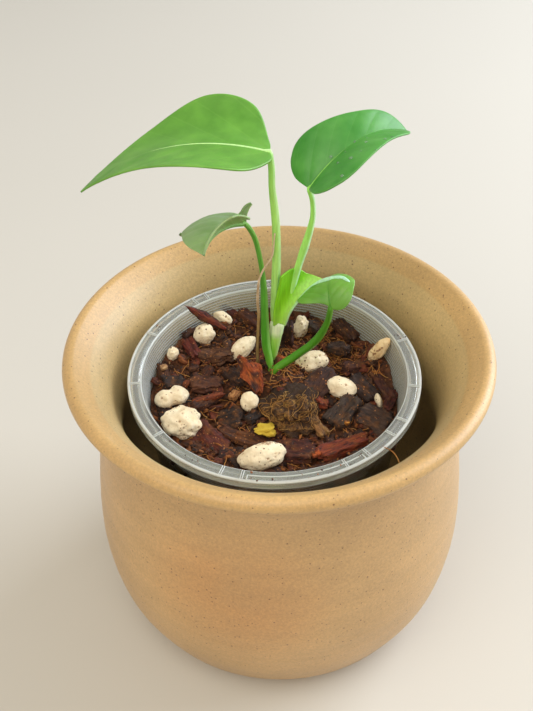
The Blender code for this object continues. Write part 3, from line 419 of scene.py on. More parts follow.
def path_of(points, steps):
    """A smooth curve through points in millimetres, in metres."""
    return smooth_curve([Vector(point) * MM for point in points], steps)


def read_off(stops, place):
    """The value at a place between (place, value) stops, eased from one to the next."""
    for (before, first), (after, second) in zip(stops, stops[1:]):
        if place <= after:
            return first + (second - first) * soft_step(place, before, after)
    return stops[-1][1]


def soft_step(value, low, high):
    """0 up to low, 1 from high on, and eased between them."""
    share = min(max((value - low) / (high - low), 0), 1)
    return share * share * (3 - 2 * share)


# Materials


def add(tree, kind, inputs=None, stops=None, **settings):
    """Adds one node, with its settings, its inputs (a value or another node's socket) and a ramp's stops."""
    node = tree.nodes.new(kind)
    for name, value in settings.items():
        setattr(node, name, value)
    for name, value in (inputs or {}).items():
        if isinstance(value, bpy.types.NodeSocket):
            tree.links.new(value, node.inputs[name])
        else:
            node.inputs[name].default_value = value
    for index, (place, colour) in enumerate(stops or []):
        if index < 2:
            element = node.color_ramp.elements[index]
            element.position = place
        else:
            element = node.color_ramp.elements.new(place)
        element.color = linear(colour)
    return node


def surface(name, **constants):
    """A new material: its node tree, its shader and its Object coordinates."""
    made = bpy.data.materials.new(name)
    made.use_nodes = True
    tree = made.node_tree
    shader = tree.nodes["Principled BSDF"]
    for socket, value in constants.items():
        shader.inputs[socket.replace("_", " ")].default_value = value
    place = add(tree, "ShaderNodeTexCoord").outputs["Object"]
    return made, tree, shader, place


def cover(tree, shader, colour, pattern, strength, depth, **settings):
    """Gives a surface its colour and the relief of a fine pattern, this many millimetres deep."""
    relief = add(tree, "ShaderNodeBump", {"Height": pattern, "Strength": strength, "Distance": depth * MM},
                 **settings)
    tree.links.new(colour, shader.inputs["Base Color"])
    tree.links.new(relief.outputs["Normal"], shader.inputs["Normal"])
    return relief


def shaded(tree, colour, *patterns):
    """Multiplies a colour by patterns, each given with its darkest and its lightest share."""
    for pattern, darkest, lightest in patterns:
        shade = add(tree, "ShaderNodeMapRange", {"Value": pattern, "From Min": 0.3, "From Max": 0.7,
                                                 "To Min": darkest, "To Max": lightest})
        colour = add(tree, "ShaderNodeMix", {FACTOR: 1.0, COLOUR_A: colour,
                                             COLOUR_B: shade.outputs["Result"]},
                     data_type="RGBA", blend_type="MULTIPLY").outputs[COLOUR_OUT]
    return colour


def tinted(tree, colour, pattern, stops, share=1.0):
    """Multiplies a colour by the tones that a pattern picks from a ramp."""
    tones = add(tree, "ShaderNodeValToRGB", {"Fac": pattern}, stops)
    return add(tree, "ShaderNodeMix", {FACTOR: share, COLOUR_A: colour, COLOUR_B: tones.outputs["Color"]},
               data_type="RGBA", blend_type="MULTIPLY").outputs[COLOUR_OUT]


def sprinkled(tree, under, over, place, apart, channel, chosen, reach, edge, strength, soiled=None):
    """Strews crumbs or specks of one colour over another.

    Cells this many millimetres apart draw lots from a colour channel. Those in the chosen range get a crumb
    that reaches up to this share of a cell, with a soft edge. More soil makes more of them win.
    """
    cells = add(tree, "ShaderNodeTexVoronoi", {"Vector": place, "Scale": per(apart)})
    lot = add(tree, "ShaderNodeSeparateColor", {"Color": cells.outputs["Color"]}).outputs[channel]
    if soiled:
        lot = add(tree, "ShaderNodeMath", {0: soiled, 1: 0.5, 2: lot}, operation="MULTIPLY_ADD").outputs[0]
    won = add(tree, "ShaderNodeMapRange", {"Value": lot, "From Min": chosen[0], "From Max": chosen[1],
                                           "To Min": 0.0, "To Max": reach})
    near = add(tree, "ShaderNodeMath", {0: won.outputs["Result"], 1: cells.outputs["Distance"]},
               operation="SUBTRACT")
    crumb = add(tree, "ShaderNodeMapRange", {"Value": near.outputs[0], "From Min": 0.0, "From Max": edge,
                                             "To Min": 0.0, "To Max": strength})
    return add(tree, "ShaderNodeMix", {FACTOR: crumb.outputs["Result"], COLOUR_A: under, COLOUR_B: over},
               data_type="RGBA").outputs[COLOUR_OUT]


def stoneware(settings):
    """Buff stoneware, thrown, left unglazed with a low sheen: sandy, with iron specks and faint rings."""
    made, tree, shader, place = surface("buff_stoneware", Roughness=0.46, IOR=1.5, Coat_Weight=0.45,
                                        Coat_Roughness=0.45)
    inner = add(tree, "ShaderNodeAttribute", attribute_name="inner").outputs["Fac"]
    lip = add(tree, "ShaderNodeAttribute", attribute_name="lip").outputs["Fac"]
    clouds = add(tree, "ShaderNodeTexNoise", {"Vector": place, "Scale": per(30),
                                              "Detail": 3.0}).outputs["Fac"]
    flat = add(tree, "ShaderNodeMapping", {"Vector": place, "Scale": (1, 1, 7)}).outputs[0]
    rings = add(tree, "ShaderNodeTexNoise", {"Vector": flat, "Scale": per(40), "Detail": 5.0}).outputs["Fac"]
    grain = add(tree, "ShaderNodeTexNoise", {"Vector": place, "Scale": per(0.9), "Detail": 5.0,
                                             "Roughness": 0.75}).outputs["Fac"]
    # Painted warm bounce light: it fades from its middle outwards and is as uneven as the clouds
    away = add(tree, "ShaderNodeVectorMath", {0: place, 1: tuple(WARM_BOUNCE_PLACE)}, operation="DISTANCE")
    fading = add(tree, "ShaderNodeMapRange", {"Value": away.outputs["Value"], "From Min": 0.0,
                                              "From Max": WARM_BOUNCE_REACH, "To Min": 0.6, "To Max": 0.0},
                 interpolation_type="SMOOTHSTEP")
    uneven = add(tree, "ShaderNodeMapRange", {"Value": clouds, "From Min": 0.3, "From Max": 0.7,
                                              "To Min": 0.5, "To Max": 1.2})
    warm_bounce = add(tree, "ShaderNodeMath", {0: fading.outputs["Result"], 1: uneven.outputs["Result"]},
                operation="MULTIPLY").outputs[0]
    colour = tuple(settings.clay)
    for share, over in ((warm_bounce, "#c28140"), (inner, "#c4a670"), (lip, "#c6a066")):
        colour = add(tree, "ShaderNodeMix", {FACTOR: share, COLOUR_A: colour, COLOUR_B: linear(over)},
                     data_type="RGBA").outputs[COLOUR_OUT]
    colour = shaded(tree, colour, (clouds, 0.92, 1.07), (rings, 0.95, 1.05), (grain, 0.80, 1.17))
    # Iron specks up to 0.8 mm across, one in a few square millimetres
    colour = sprinkled(tree, colour, tuple(settings.specks), place, 1.5, "Red", (0.45, 1.0), 0.25, 0.05, 0.72)
    sandy = add(tree, "ShaderNodeBump", {"Height": grain, "Strength": 0.6, "Distance": 0.16 * MM})
    turned = cover(tree, shader, colour, rings, 0.5, 0.4)
    tree.links.new(sandy.outputs["Normal"], turned.inputs["Normal"])
    return made


def clear_plastic(settings):
    """Injection-moulded clear polypropylene: glossy, milky where it is thick, dusty from the soil."""
    made, tree, shader, place = surface("clear_polypropylene", IOR=1.46)
    milk = add(tree, "ShaderNodeAttribute", attribute_name="milk").outputs["Fac"]
    dust = add(tree, "ShaderNodeTexNoise", {"Vector": place, "Scale": per(5), "Detail": 6.0,
                                            "Roughness": 0.7}).outputs["Fac"]
    dull = add(tree, "ShaderNodeMapRange", {"Value": dust, "From Min": 0.35, "From Max": 0.75,
                                            "To Min": 0.05, "To Max": 0.26})
    tree.links.new(dull.outputs["Result"], shader.inputs["Roughness"])
    clear = add(tree, "ShaderNodeMapRange", {"Value": milk, "To Min": 0.92, "To Max": 0.35})
    tree.links.new(clear.outputs["Result"], shader.inputs["Transmission Weight"])
    stain = add(tree, "ShaderNodeMapRange", {"Value": dust, "From Min": 0.60, "From Max": 0.80,
                                             "To Min": 0.0, "To Max": 0.5})
    soiled = add(tree, "ShaderNodeMix", {FACTOR: stain.outputs["Result"], COLOUR_A: tuple(settings.plastic),
                                         COLOUR_B: linear("#b7a588")}, data_type="RGBA")
    ripple = add(tree, "ShaderNodeTexNoise", {"Vector": place, "Scale": per(2.2), "Detail": 2.0})
    cover(tree, shader, soiled.outputs[COLOUR_OUT], ripple.outputs["Fac"], 0.2, 0.1)
    return made


def soil(settings):
    """Peat and fine bark between the chips: crumbly, dull, damp in places."""
    made, tree, shader, place = surface("damp_peat", Roughness=0.88)
    lumps = add(tree, "ShaderNodeTexNoise", {"Vector": place, "Scale": per(3.0), "Detail": 8.0,
                                             "Roughness": 0.72})
    tone = add(tree, "ShaderNodeValToRGB", {"Fac": lumps.outputs["Fac"]},
               [(0.30, "#24130a"), (0.75, "#9a6238"), (0.45, "#4c2b18"), (0.58, "#6f4225")])
    mixed = add(tree, "ShaderNodeMix", {FACTOR: 0.3, COLOUR_A: tone.outputs["Color"],
                                        COLOUR_B: tuple(settings.soil)}, data_type="RGBA")
    fine = add(tree, "ShaderNodeTexNoise", {"Vector": place, "Scale": per(0.7), "Detail": 5.0,
                                            "Roughness": 0.7})
    cover(tree, shader, mixed.outputs[COLOUR_OUT], fine.outputs["Fac"], 0.9, 0.5)
    return made


def bark():
    """Composted pine bark: flaky, fibrous along the grain, dull with a slight sheen where it is damp."""
    made, tree, shader, _ = surface("pine_bark")
    tint = add(tree, "ShaderNodeAttribute", attribute_name="tone").outputs["Color"]
    place = add(tree, "ShaderNodeAttribute", attribute_name="grain").outputs["Vector"]
    along = add(tree, "ShaderNodeMapping", {"Vector": place, "Scale": (0.22, 1, 1)})
    fibre = add(tree, "ShaderNodeTexNoise", {"Vector": along.outputs[0], "Scale": per(0.8), "Detail": 5.0,
                                             "Roughness": 0.7}).outputs["Fac"]
    patch = add(tree, "ShaderNodeTexNoise", {"Vector": place, "Scale": per(3.2),
                                             "Detail": 4.0}).outputs["Fac"]
    fibred = tinted(tree, tint, fibre, [(0.34, "#3a2418"), (0.72, "#fff0d0"), (0.50, "#c29a78")])
    dusty = add(tree, "ShaderNodeMapRange", {"Value": patch, "From Min": 0.50, "From Max": 0.72,
                                             "To Min": 0.0, "To Max": 0.55})
    dusted = add(tree, "ShaderNodeMix", {FACTOR: dusty.outputs["Result"], COLOUR_A: fibred,
                                         COLOUR_B: linear("#83532c")}, data_type="RGBA").outputs[COLOUR_OUT]
    crumbed = sprinkled(tree, dusted, linear("#b0703a"), place, 0.8, "Blue", (0.68, 1.0), 0.42, 0.08, 0.8)
    damp = add(tree, "ShaderNodeMapRange", {"Value": patch, "From Min": 0.35, "From Max": 0.65,
                                            "To Min": 0.62, "To Max": 0.92})
    tree.links.new(damp.outputs["Result"], shader.inputs["Roughness"])
    cover(tree, shader, crumbed, fibre, 1.0, 0.6)
    return made


def pumice(name, pale, shade, stain):
    """Pumice, tumbled: chalky and porous, with soil rubbed into its pits."""
    made, tree, shader, place = surface(name, Roughness=0.92)
    pit = add(tree, "ShaderNodeAttribute", attribute_name="pit").outputs["Fac"]
    soiled = add(tree, "ShaderNodeAttribute", attribute_name="soiled").outputs["Fac"]
    clouds = add(tree, "ShaderNodeTexNoise", {"Vector": place, "Scale": per(4.0), "Detail": 5.0,
                                              "Roughness": 0.6})
    tone = add(tree, "ShaderNodeValToRGB", {"Fac": clouds.outputs["Fac"]}, [(0.32, shade), (0.62, pale)])
    pores = add(tree, "ShaderNodeTexNoise", {"Vector": place, "Scale": per(0.55), "Detail": 3.0,
                                             "Roughness": 0.75}).outputs["Fac"]
    dark = add(tree, "ShaderNodeMapRange", {"Value": pores, "From Min": 0.60, "From Max": 0.72,
                                            "To Min": 0.0, "To Max": 0.45})
    dirt = add(tree, "ShaderNodeMath", {0: pit, 1: dark.outputs["Result"]}, operation="MAXIMUM")
    rubbed = add(tree, "ShaderNodeMix", {FACTOR: dirt.outputs[0], COLOUR_A: tone.outputs["Color"],
                                         COLOUR_B: linear(stain)}, data_type="RGBA").outputs[COLOUR_OUT]
    specked = sprinkled(tree, rubbed, linear("#5a2c18"), place, 1.15, "Green", (0.78, 1.4), 0.36, 0.04, 0.85,
                        soiled)
    cover(tree, shader, specked, pores, 0.6, 0.3, invert=True)
    return made


def root_plug():
    """An old ball of roots and moss: olive and yellow tufts over dark fibre, dull."""
    made, tree, shader, place = surface("dried_root_and_moss", Roughness=0.9)
    dark = add(tree, "ShaderNodeAttribute", attribute_name="dark").outputs["Fac"]
    clumps = add(tree, "ShaderNodeTexNoise", {"Vector": place, "Scale": per(3.6), "Detail": 6.0,
                                              "Roughness": 0.7})
    fibres = add(tree, "ShaderNodeTexNoise", {"Vector": place, "Scale": per(0.6), "Detail": 4.0,
                                              "Distortion": 1.5}).outputs["Fac"]
    tone = add(tree, "ShaderNodeValToRGB", {"Fac": clumps.outputs["Fac"]},
               [(0.34, "#3e2814"), (0.68, "#cfa048"), (0.46, "#70491f"), (0.56, "#9a6c34")])
    fibred = tinted(tree, tone.outputs["Color"], fibres, [(0.30, "#4d443a"), (0.70, "#ffffff")], 0.9)
    # Painted shade: the ball turns dark brown in its creases and at its back
    shaded_back = add(tree, "ShaderNodeMix", {FACTOR: dark, COLOUR_A: fibred, COLOUR_B: linear("#2e1c12")},
                      data_type="RGBA")
    # The yellow lump is marked by a dark share below zero
    lump = add(tree, "ShaderNodeMath", {0: dark, 1: -0.5}, operation="LESS_THAN")
    yellow = add(tree, "ShaderNodeMix", {FACTOR: lump.outputs[0], COLOUR_A: shaded_back.outputs[COLOUR_OUT],
                                         COLOUR_B: linear("#d2b238")}, data_type="RGBA")
    cover(tree, shader, yellow.outputs[COLOUR_OUT], fibres, 1.0, 0.5)
    return made


def leaf_face(name, deep, light, vein, vein_share, gloss):
    """One face of a living leaf: a waxy cuticle over green tissue, with paler veins and margin."""
    made, tree, shader, place = surface(name, Roughness=gloss, IOR=1.45, Subsurface_Weight=0.35,
                                        Subsurface_Scale=1.2 * MM, Subsurface_Radius=(0.5, 1.0, 0.2))
    along = add(tree, "ShaderNodeAttribute", attribute_name="along").outputs["Fac"]
    across = add(tree, "ShaderNodeAttribute", attribute_name="across").outputs["Fac"]
    rim = add(tree, "ShaderNodeAttribute", attribute_name="rim").outputs["Fac"]
    off = add(tree, "ShaderNodeMath", {0: across}, operation="ABSOLUTE").outputs[0]
    clouds = add(tree, "ShaderNodeTexNoise", {"Vector": place, "Scale": per(9), "Detail": 3.0})
    tone = add(tree, "ShaderNodeValToRGB", {"Fac": clouds.outputs["Fac"]}, [(0.3, deep), (0.7, light)])
    # Side veins leave the midrib forwards and bend towards the tip: their place is a sawtooth of one number
    forwards = add(tree, "ShaderNodeMath", {0: off, 1: -VEIN_SWEEP, 2: along}, operation="MULTIPLY_ADD")
    phase = add(tree, "ShaderNodeMath", {0: forwards.outputs[0], 1: float(SIDE_VEINS)}, operation="MULTIPLY")
    saw = add(tree, "ShaderNodeMath", {0: phase.outputs[0], 1: 1.0}, operation="PINGPONG")
    side = add(tree, "ShaderNodeMapRange", {"Value": saw.outputs[0], "From Min": 0.10, "From Max": 0.0,
                                            "To Min": 0.0, "To Max": vein_share})
    # The midrib narrows and fades towards the tip
    width = add(tree, "ShaderNodeMath", {0: along, 1: -0.035, 2: 0.045}, operation="MULTIPLY_ADD")
    fading = add(tree, "ShaderNodeMapRange", {"Value": along, "From Min": 0.05, "From Max": 0.9,
                                              "To Min": 0.5, "To Max": 0.08})
    middle = add(tree, "ShaderNodeMapRange", {"Value": off, "From Min": width.outputs[0], "From Max": 0.0,
                                              "To Min": 0.0, "To Max": fading.outputs["Result"]},
                 interpolation_type="SMOOTHSTEP")
    edge = add(tree, "ShaderNodeMapRange", {"Value": rim, "From Min": 0.975, "From Max": 1.0,
                                            "To Min": 0.0, "To Max": 0.28})
    veins = add(tree, "ShaderNodeMath", {0: side.outputs["Result"], 1: middle.outputs["Result"]},
                operation="MAXIMUM")
    lines = add(tree, "ShaderNodeMath", {0: veins.outputs[0], 1: edge.outputs["Result"]}, operation="MAXIMUM")
    veined = add(tree, "ShaderNodeMix", {FACTOR: lines.outputs[0], COLOUR_A: tone.outputs["Color"],
                                         COLOUR_B: linear(vein)}, data_type="RGBA")
    cells = add(tree, "ShaderNodeTexNoise", {"Vector": place, "Scale": per(0.5), "Detail": 3.0})
    cover(tree, shader, veined.outputs[COLOUR_OUT], cells.outputs["Fac"], 0.25, 0.08)
    return made


def stalk_skin(name, stops, lit, gloss):
    """The skin of a living stalk: smooth and waxy, its colour changing from foot to top, with fine ridges and
    painted light down one side.
    """
    made, tree, shader, place = surface(name, Roughness=gloss, IOR=1.45, Subsurface_Weight=0.15,
                                        Subsurface_Scale=0.6 * MM, Subsurface_Radius=(0.6, 1.0, 0.25))
    along = add(tree, "ShaderNodeAttribute", attribute_name="along").outputs["Fac"]
    side = add(tree, "ShaderNodeAttribute", attribute_name="side").outputs["Fac"]
    tone = add(tree, "ShaderNodeValToRGB", {"Fac": along}, stops)
    flat = add(tree, "ShaderNodeMapping", {"Vector": place, "Scale": (1, 1, 0.12)})
    streaks = add(tree, "ShaderNodeTexNoise", {"Vector": flat.outputs[0], "Scale": per(0.8),
                                               "Detail": 3.0}).outputs["Fac"]
    # Painted highlight: one side of the stalk is mixed towards its lit colour
    paler = add(tree, "ShaderNodeMapRange", {"Value": side, "From Min": 0.2, "From Max": 1.0,
                                             "To Min": 0.0, "To Max": 0.7})
    painted_lit_side = add(tree, "ShaderNodeMix", {FACTOR: paler.outputs["Result"], COLOUR_A: tone.outputs["Color"],
                                        COLOUR_B: linear(lit)}, data_type="RGBA")
    cover(tree, shader, shaded(tree, painted_lit_side.outputs[COLOUR_OUT], (streaks, 0.82, 1.08)), streaks, 0.3, 0.15)
    return made


def paper(name, stops):
    """A dead sheath or root: papery, fibrous lengthwise, dull and pale."""
    made, tree, shader, place = surface(name, Roughness=0.8)
    along = add(tree, "ShaderNodeAttribute", attribute_name="along").outputs["Fac"]
    tone = add(tree, "ShaderNodeValToRGB", {"Fac": along}, stops)
    flat = add(tree, "ShaderNodeMapping", {"Vector": place, "Scale": (1, 1, 0.15)})
    fibre = add(tree, "ShaderNodeTexNoise", {"Vector": flat.outputs[0], "Scale": per(0.5),
                                             "Detail": 5.0}).outputs["Fac"]
    fibred = tinted(tree, tone.outputs["Color"], fibre, [(0.3, "#bcac94"), (0.7, "#ffffff")])
    cover(tree, shader, fibred, fibre, 0.7, 0.25)
    return made


def water():
    """A water drop: IOR 1.33, mostly clear, with a pale green colour that is a painted reflection of the sky.
    """
    made, _, _, _ = surface("water", Roughness=0.05, IOR=1.333, Transmission_Weight=0.75,
                            Base_Color=linear("#c4e2c4"))
    return made


# Meshes


def placed(name, shape, *materials):
    """Turns a bmesh into an object of the scene, with these materials."""
    mesh = bpy.data.meshes.new(name)
    shape.to_mesh(mesh)
    shape.free()
    for material in materials:
        mesh.materials.append(material)
    made = bpy.data.objects.new(name, mesh)
    bpy.context.scene.collection.objects.link(made)
    return made


def finished(name, shape, slot, nodes, *materials, smooth=True):
    """Turns a bmesh into a piece that rides on the plant and stands for the nodes. The slot is not used."""
    piece = placed(name, shape, *materials)
    if smooth:
        piece.data.shade_smooth()
    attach(piece, BODY)
    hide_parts(*nodes)
    return piece


def number_layers(shape, *names):
    """The shape's number layers by name. Missing ones are made first, because a new one moves the others."""
    numbers = shape.verts.layers.float
    for name in names:
        if name not in numbers:
            numbers.new(name)
    return {name: numbers[name] for name in names}


def spun(shape, steps):
    """Turns the profile that the shape holds once round the Z axis and closes it."""
    bmesh.ops.spin(shape, geom=list(shape.verts) + list(shape.edges), cent=(0, 0, 0), axis=(0, 0, 1),
                   angle=math.tau, steps=steps, use_merge=True)
    bmesh.ops.remove_doubles(shape, verts=shape.verts, dist=MERGE)
    bmesh.ops.dissolve_degenerate(shape, edges=shape.edges, dist=MERGE)
    bmesh.ops.recalc_face_normals(shape, faces=shape.faces)


def profile_of(points, layers=()):
    """A bmesh that holds a profile of (radius, height) points. A layer is a name and a list of values."""
    shape = bmesh.new()
    made = number_layers(shape, *[name for name, _ in layers])
    corners = [shape.verts.new((radius, 0, height)) for radius, height in points]
    for name, values in layers:
        for corner, value in zip(corners, values):
            corner[made[name]] = value
    for first, second in zip(corners, corners[1:]):
        shape.edges.new((first, second))
    return shape


def frames_along(points):
    """At each point of a path: the way along it, and two ways square to it that turn as little as can be."""
    ways = [(after - before).normalized() for before, after in
            zip([points[0], *points[:-1]], [*points[1:], points[-1]])]
    front = Vector((0, -1, 0))
    found = []
    for way in ways:
        front = (front - way * front.dot(way)).normalized()
        found.append((way, front, way.cross(front)))
    return found


def sweep(shape, path, sides, section=None):
    """Adds a closed skin round a path of (x, y, z, radius) points.

    Where section(along, angle) is given, the radius is scaled by what it returns.
    """
    points = [point.xyz for point in path]
    axes = frames_along(points)
    rows = len(path) - 1
    layers = number_layers(shape, "along", "side")
    made = bmesh.ops.create_grid(shape, x_segments=rows, y_segments=sides, size=1)["verts"]
    for vertex in made:
        row = round((vertex.co.x + 1) / 2 * rows)
        angle = (vertex.co.y + 1) * math.pi
        _, front, side = axes[row]
        reach = path[row].w * (section(row / rows, angle) if section else 1)
        vertex.co = points[row] + reach * (math.cos(angle) * front + math.sin(angle) * side)
        vertex[layers["along"]] = row / rows
        vertex[layers["side"]] = math.sin(angle)
    bmesh.ops.remove_doubles(shape, verts=made, dist=MERGE)
    ends = [edge for edge in shape.edges if edge.is_boundary]
    bmesh.ops.holes_fill(shape, edges=ends, sides=0)


def swept(name, slot, nodes, skin, path, sides, section):
    """A piece that is one closed skin round a path."""
    shape = bmesh.new()
    sweep(shape, path, sides, section)
    bmesh.ops.recalc_face_normals(shape, faces=shape.faces)
    finished(name, shape, slot, nodes, skin)


def midrib(leaf, reach, steps):
    """Places and slopes along the midrib, as (place, slope angle, heading angle) from the foot on."""
    place = Vector(leaf["foot"][:3]) * MM
    step = leaf["length"] * MM * reach / steps
    found = []
    for index in range(steps + 1):
        along = reach * index / steps
        found.append((place.copy(), *slope_at(leaf, along)))
        place += step * forward(*slope_at(leaf, min(1, along + reach / steps / 2)))
    return found


def slope_at(leaf, along):
    """The blade's rise and heading at this share of its length, in radians."""
    rise = leaf["rise"] + (leaf["droop"] - leaf["rise"]) * along ** leaf["bend"]
    heading = leaf["heading"] + leaf["turn"] * along
    return math.radians(rise), math.radians(heading)


def forward(rise, heading):
    """The direction of a rise and a heading, both in radians."""
    return Vector((math.cos(rise) * math.cos(heading), math.cos(rise) * math.sin(heading), math.sin(rise)))


def blade_axes(leaf, along, rise, heading):
    """Directions across the blade, to its left, and up from its face, after the roll about the midrib."""
    ahead = forward(rise, heading)
    level = Vector((-math.sin(heading), math.cos(heading), 0))
    upright = ahead.cross(level)
    roll = math.radians(leaf["roll"][0] + (leaf["roll"][1] - leaf["roll"][0]) * along)
    across = math.cos(roll) * level + math.sin(roll) * upright
    return across, math.cos(roll) * upright - math.sin(roll) * level


def blade_point(leaf, spine, u, v):
    """Where the point of the flat outline at u along and v across (left positive) lies on the bent blade."""
    side = 0 if v >= 0 else 1
    length = leaf["length"] * MM
    along = min(max(u / length, 0), 1)
    index = min(int(along * (len(spine) - 1)), len(spine) - 2)
    share = along * (len(spine) - 1) - index
    place = spine[index][0].lerp(spine[index + 1][0], share)
    rise, heading = slope_at(leaf, along)
    across, upright = blade_axes(leaf, along, rise, heading)
    fold = math.radians(leaf["fold"][side])
    curl = math.radians(leaf["curl"][side]) / (leaf["half_width"][0] * MM)
    bent = fold - curl * abs(v)
    out = (math.sin(fold) - math.sin(bent)) / curl
    lift = (math.cos(bent) - math.cos(fold)) / curl
    lobe = leaf["lobe"][side][0] * MM
    spread = min(abs(v) / (leaf["half_width"][side] * MM), 1.2) ** 1.5
    lift += leaf["flare"][side] * MM * spread * math.exp(-(max(u + lobe, 0) / (0.3 * length)) ** 2)
    place = place + min(u, 0) * forward(rise, heading)
    return place + math.copysign(out, v) * across + lift * upright


def blade_outline(leaf, side, steps):
    """One half of the flat outline, as (along, across) points from the petiole round the lobe to the tip."""
    length = leaf["length"]
    width = leaf["half_width"][side]
    lobe, lobe_width = leaf["lobe"][side]
    shoulder = leaf["widest"] * 0.35 * length - lobe * 0.35
    points = [(0, 0), (-lobe, lobe_width * width), (shoulder, 0.86 * width),
              (leaf["widest"] * length, width), (0.6 * length, leaf["shoulder"] * width),
              (0.82 * length, leaf["taper"] * width), (length, 0)]
    return path_of(points, steps)


def vein_height(along, across, spread):
    """How far the blade swells at a place: 1 between the veins, 0 on them, and a groove over the midrib."""
    phase = (along - VEIN_SWEEP * abs(across)) * SIDE_VEINS / 2
    between = abs(math.sin(math.pi * phase)) ** 0.7
    groove = math.exp(-(abs(across) / 0.035) ** 2)
    fade = soft_step(abs(across), 0.0, 0.15) * (1 - soft_step(spread, 0.8, 1.0))
    return between * fade - groove * (1 - 0.6 * along)


def blade(shape, leaf, settings):
    """Lays a fine grid in the leaf's outline, bends it and swells it between its veins."""
    spine = midrib(leaf, 1.0, 80)
    outlines = [blade_outline(leaf, side, BLADE_STEPS) for side in (0, 1)]
    rows = len(outlines[0]) - 1
    layers = number_layers(shape, "along", "across", "rim")
    bmesh.ops.create_grid(shape, x_segments=rows, y_segments=BLADE_COLUMNS, size=1)
    for vertex in shape.verts:
        row = round((vertex.co.x + 1) / 2 * rows)
        spread = vertex.co.y
        side = 0 if spread >= 0 else 1
        edge = outlines[side][row]
        length = leaf["length"] * MM
        middle = length * row / rows
        u = middle + (edge.x - middle) * abs(spread)
        v = math.copysign(edge.y * abs(spread), spread)
        vertex.co = blade_point(leaf, spine, u, v)
        vertex[layers["along"]] = u / length
        vertex[layers["across"]] = v / (leaf["half_width"][side] * MM)
        vertex[layers["rim"]] = abs(spread)
    bmesh.ops.remove_doubles(shape, verts=shape.verts, dist=BLADE_MERGE)
    shape.normal_update()
    swell = {vertex: vertex.normal * settings.vein_relief
             * vein_height(vertex[layers["along"]], vertex[layers["across"]], vertex[layers["rim"]])
             for vertex in shape.verts}
    for vertex, move in swell.items():
        vertex.co += move


def thicken(piece, thickness, inner_material=0):
    """Gives a sheet its thickness, half to each side."""
    solid = piece.modifiers.new("Thickness", "SOLIDIFY")
    solid.thickness = thickness
    solid.offset = 0
    solid.use_even_offset = True
    solid.material_offset = inner_material


def sheet(shape, shape_of, rows_to_span, columns):
    """A thin sheet between two margins, hollow towards the front."""
    left = path_of(shape_of["left"], rows_to_span)
    right = path_of(shape_of["right"], rows_to_span)
    foot_hollow, top_hollow = shape_of["hollow"]
    rows = len(left) - 1
    layers = number_layers(shape, "along", "across", "rim", "side")
    bmesh.ops.create_grid(shape, x_segments=rows, y_segments=columns, size=1)
    for vertex in shape.verts:
        row = round((vertex.co.x + 1) / 2 * rows)
        up = row / rows
        across = (vertex.co.y + 1) / 2
        back = (foot_hollow + (top_hollow - foot_hollow) * up) * math.sin(math.pi * across)
        raised = shape_of["arch"] * up * up * math.sin(math.pi * min(1, across / 0.6))
        vertex.co = left[row].lerp(right[row], across) + Vector((0, back, raised)) * MM
        vertex[layers["along"]] = up
        vertex[layers["across"]] = vertex[layers["side"]] = across * 2 - 1
        vertex[layers["rim"]] = abs(across * 2 - 1)
    bmesh.ops.remove_doubles(shape, verts=shape.verts, dist=BLADE_MERGE)


def folded(name, node, skin, shape_of, rows_to_span, columns, thickness):
    """A piece of a leaf that is one sheet between two margins."""
    shape = bmesh.new()
    sheet(shape, shape_of, rows_to_span, columns)
    thicken(finished(name, shape, "leaf", [node], skin), thickness)


def mix_height(x, y):
    """Height of the mix's surface in the nursery pot's frame, below its rim."""
    span = NURSERY_MOUTH
    height = -MIX_DEPTH - MIX_SLOPE_RIGHT * x / span + MIX_RISE_BACK * max(0, y) / span
    for place, rise, spread in MIX_MOUNDS:
        away = (Vector((x, y)) / MM - Vector(place)).length / spread
        height += rise * MM * math.exp(-away * away)
    near_wall = max(0, math.hypot(x, y) - (span - MIX_WALL_REACH)) / MIX_WALL_REACH
    height += MIX_WALL_RISE * min(1, near_wall) * min(1, max(0, 0.35 + 1.3 * y / span))
    return height + MIX_ROUGHNESS * noise.noise(Vector((x, y, 0)) / (6 * MM))


def mix_inside(depth):
    """Radius of the mix at a depth below the nursery pot's rim, a gap inside the wall."""
    floor_radius = NURSERY_FOOT - NURSERY_WALL
    return NURSERY_MOUTH + (floor_radius - NURSERY_MOUTH) * depth / NURSERY_DEPTH - GAP


def bark_layers(shape):
    """The layers that bark's material reads: its tone, and the place on the piece before it was laid down."""
    layers = shape.verts.layers
    if not layers.float_color.get("tone"):
        layers.float_color.new("tone")
        layers.float_vector.new("grain")
    return layers.float_color["tone"], layers.float_vector["grain"]


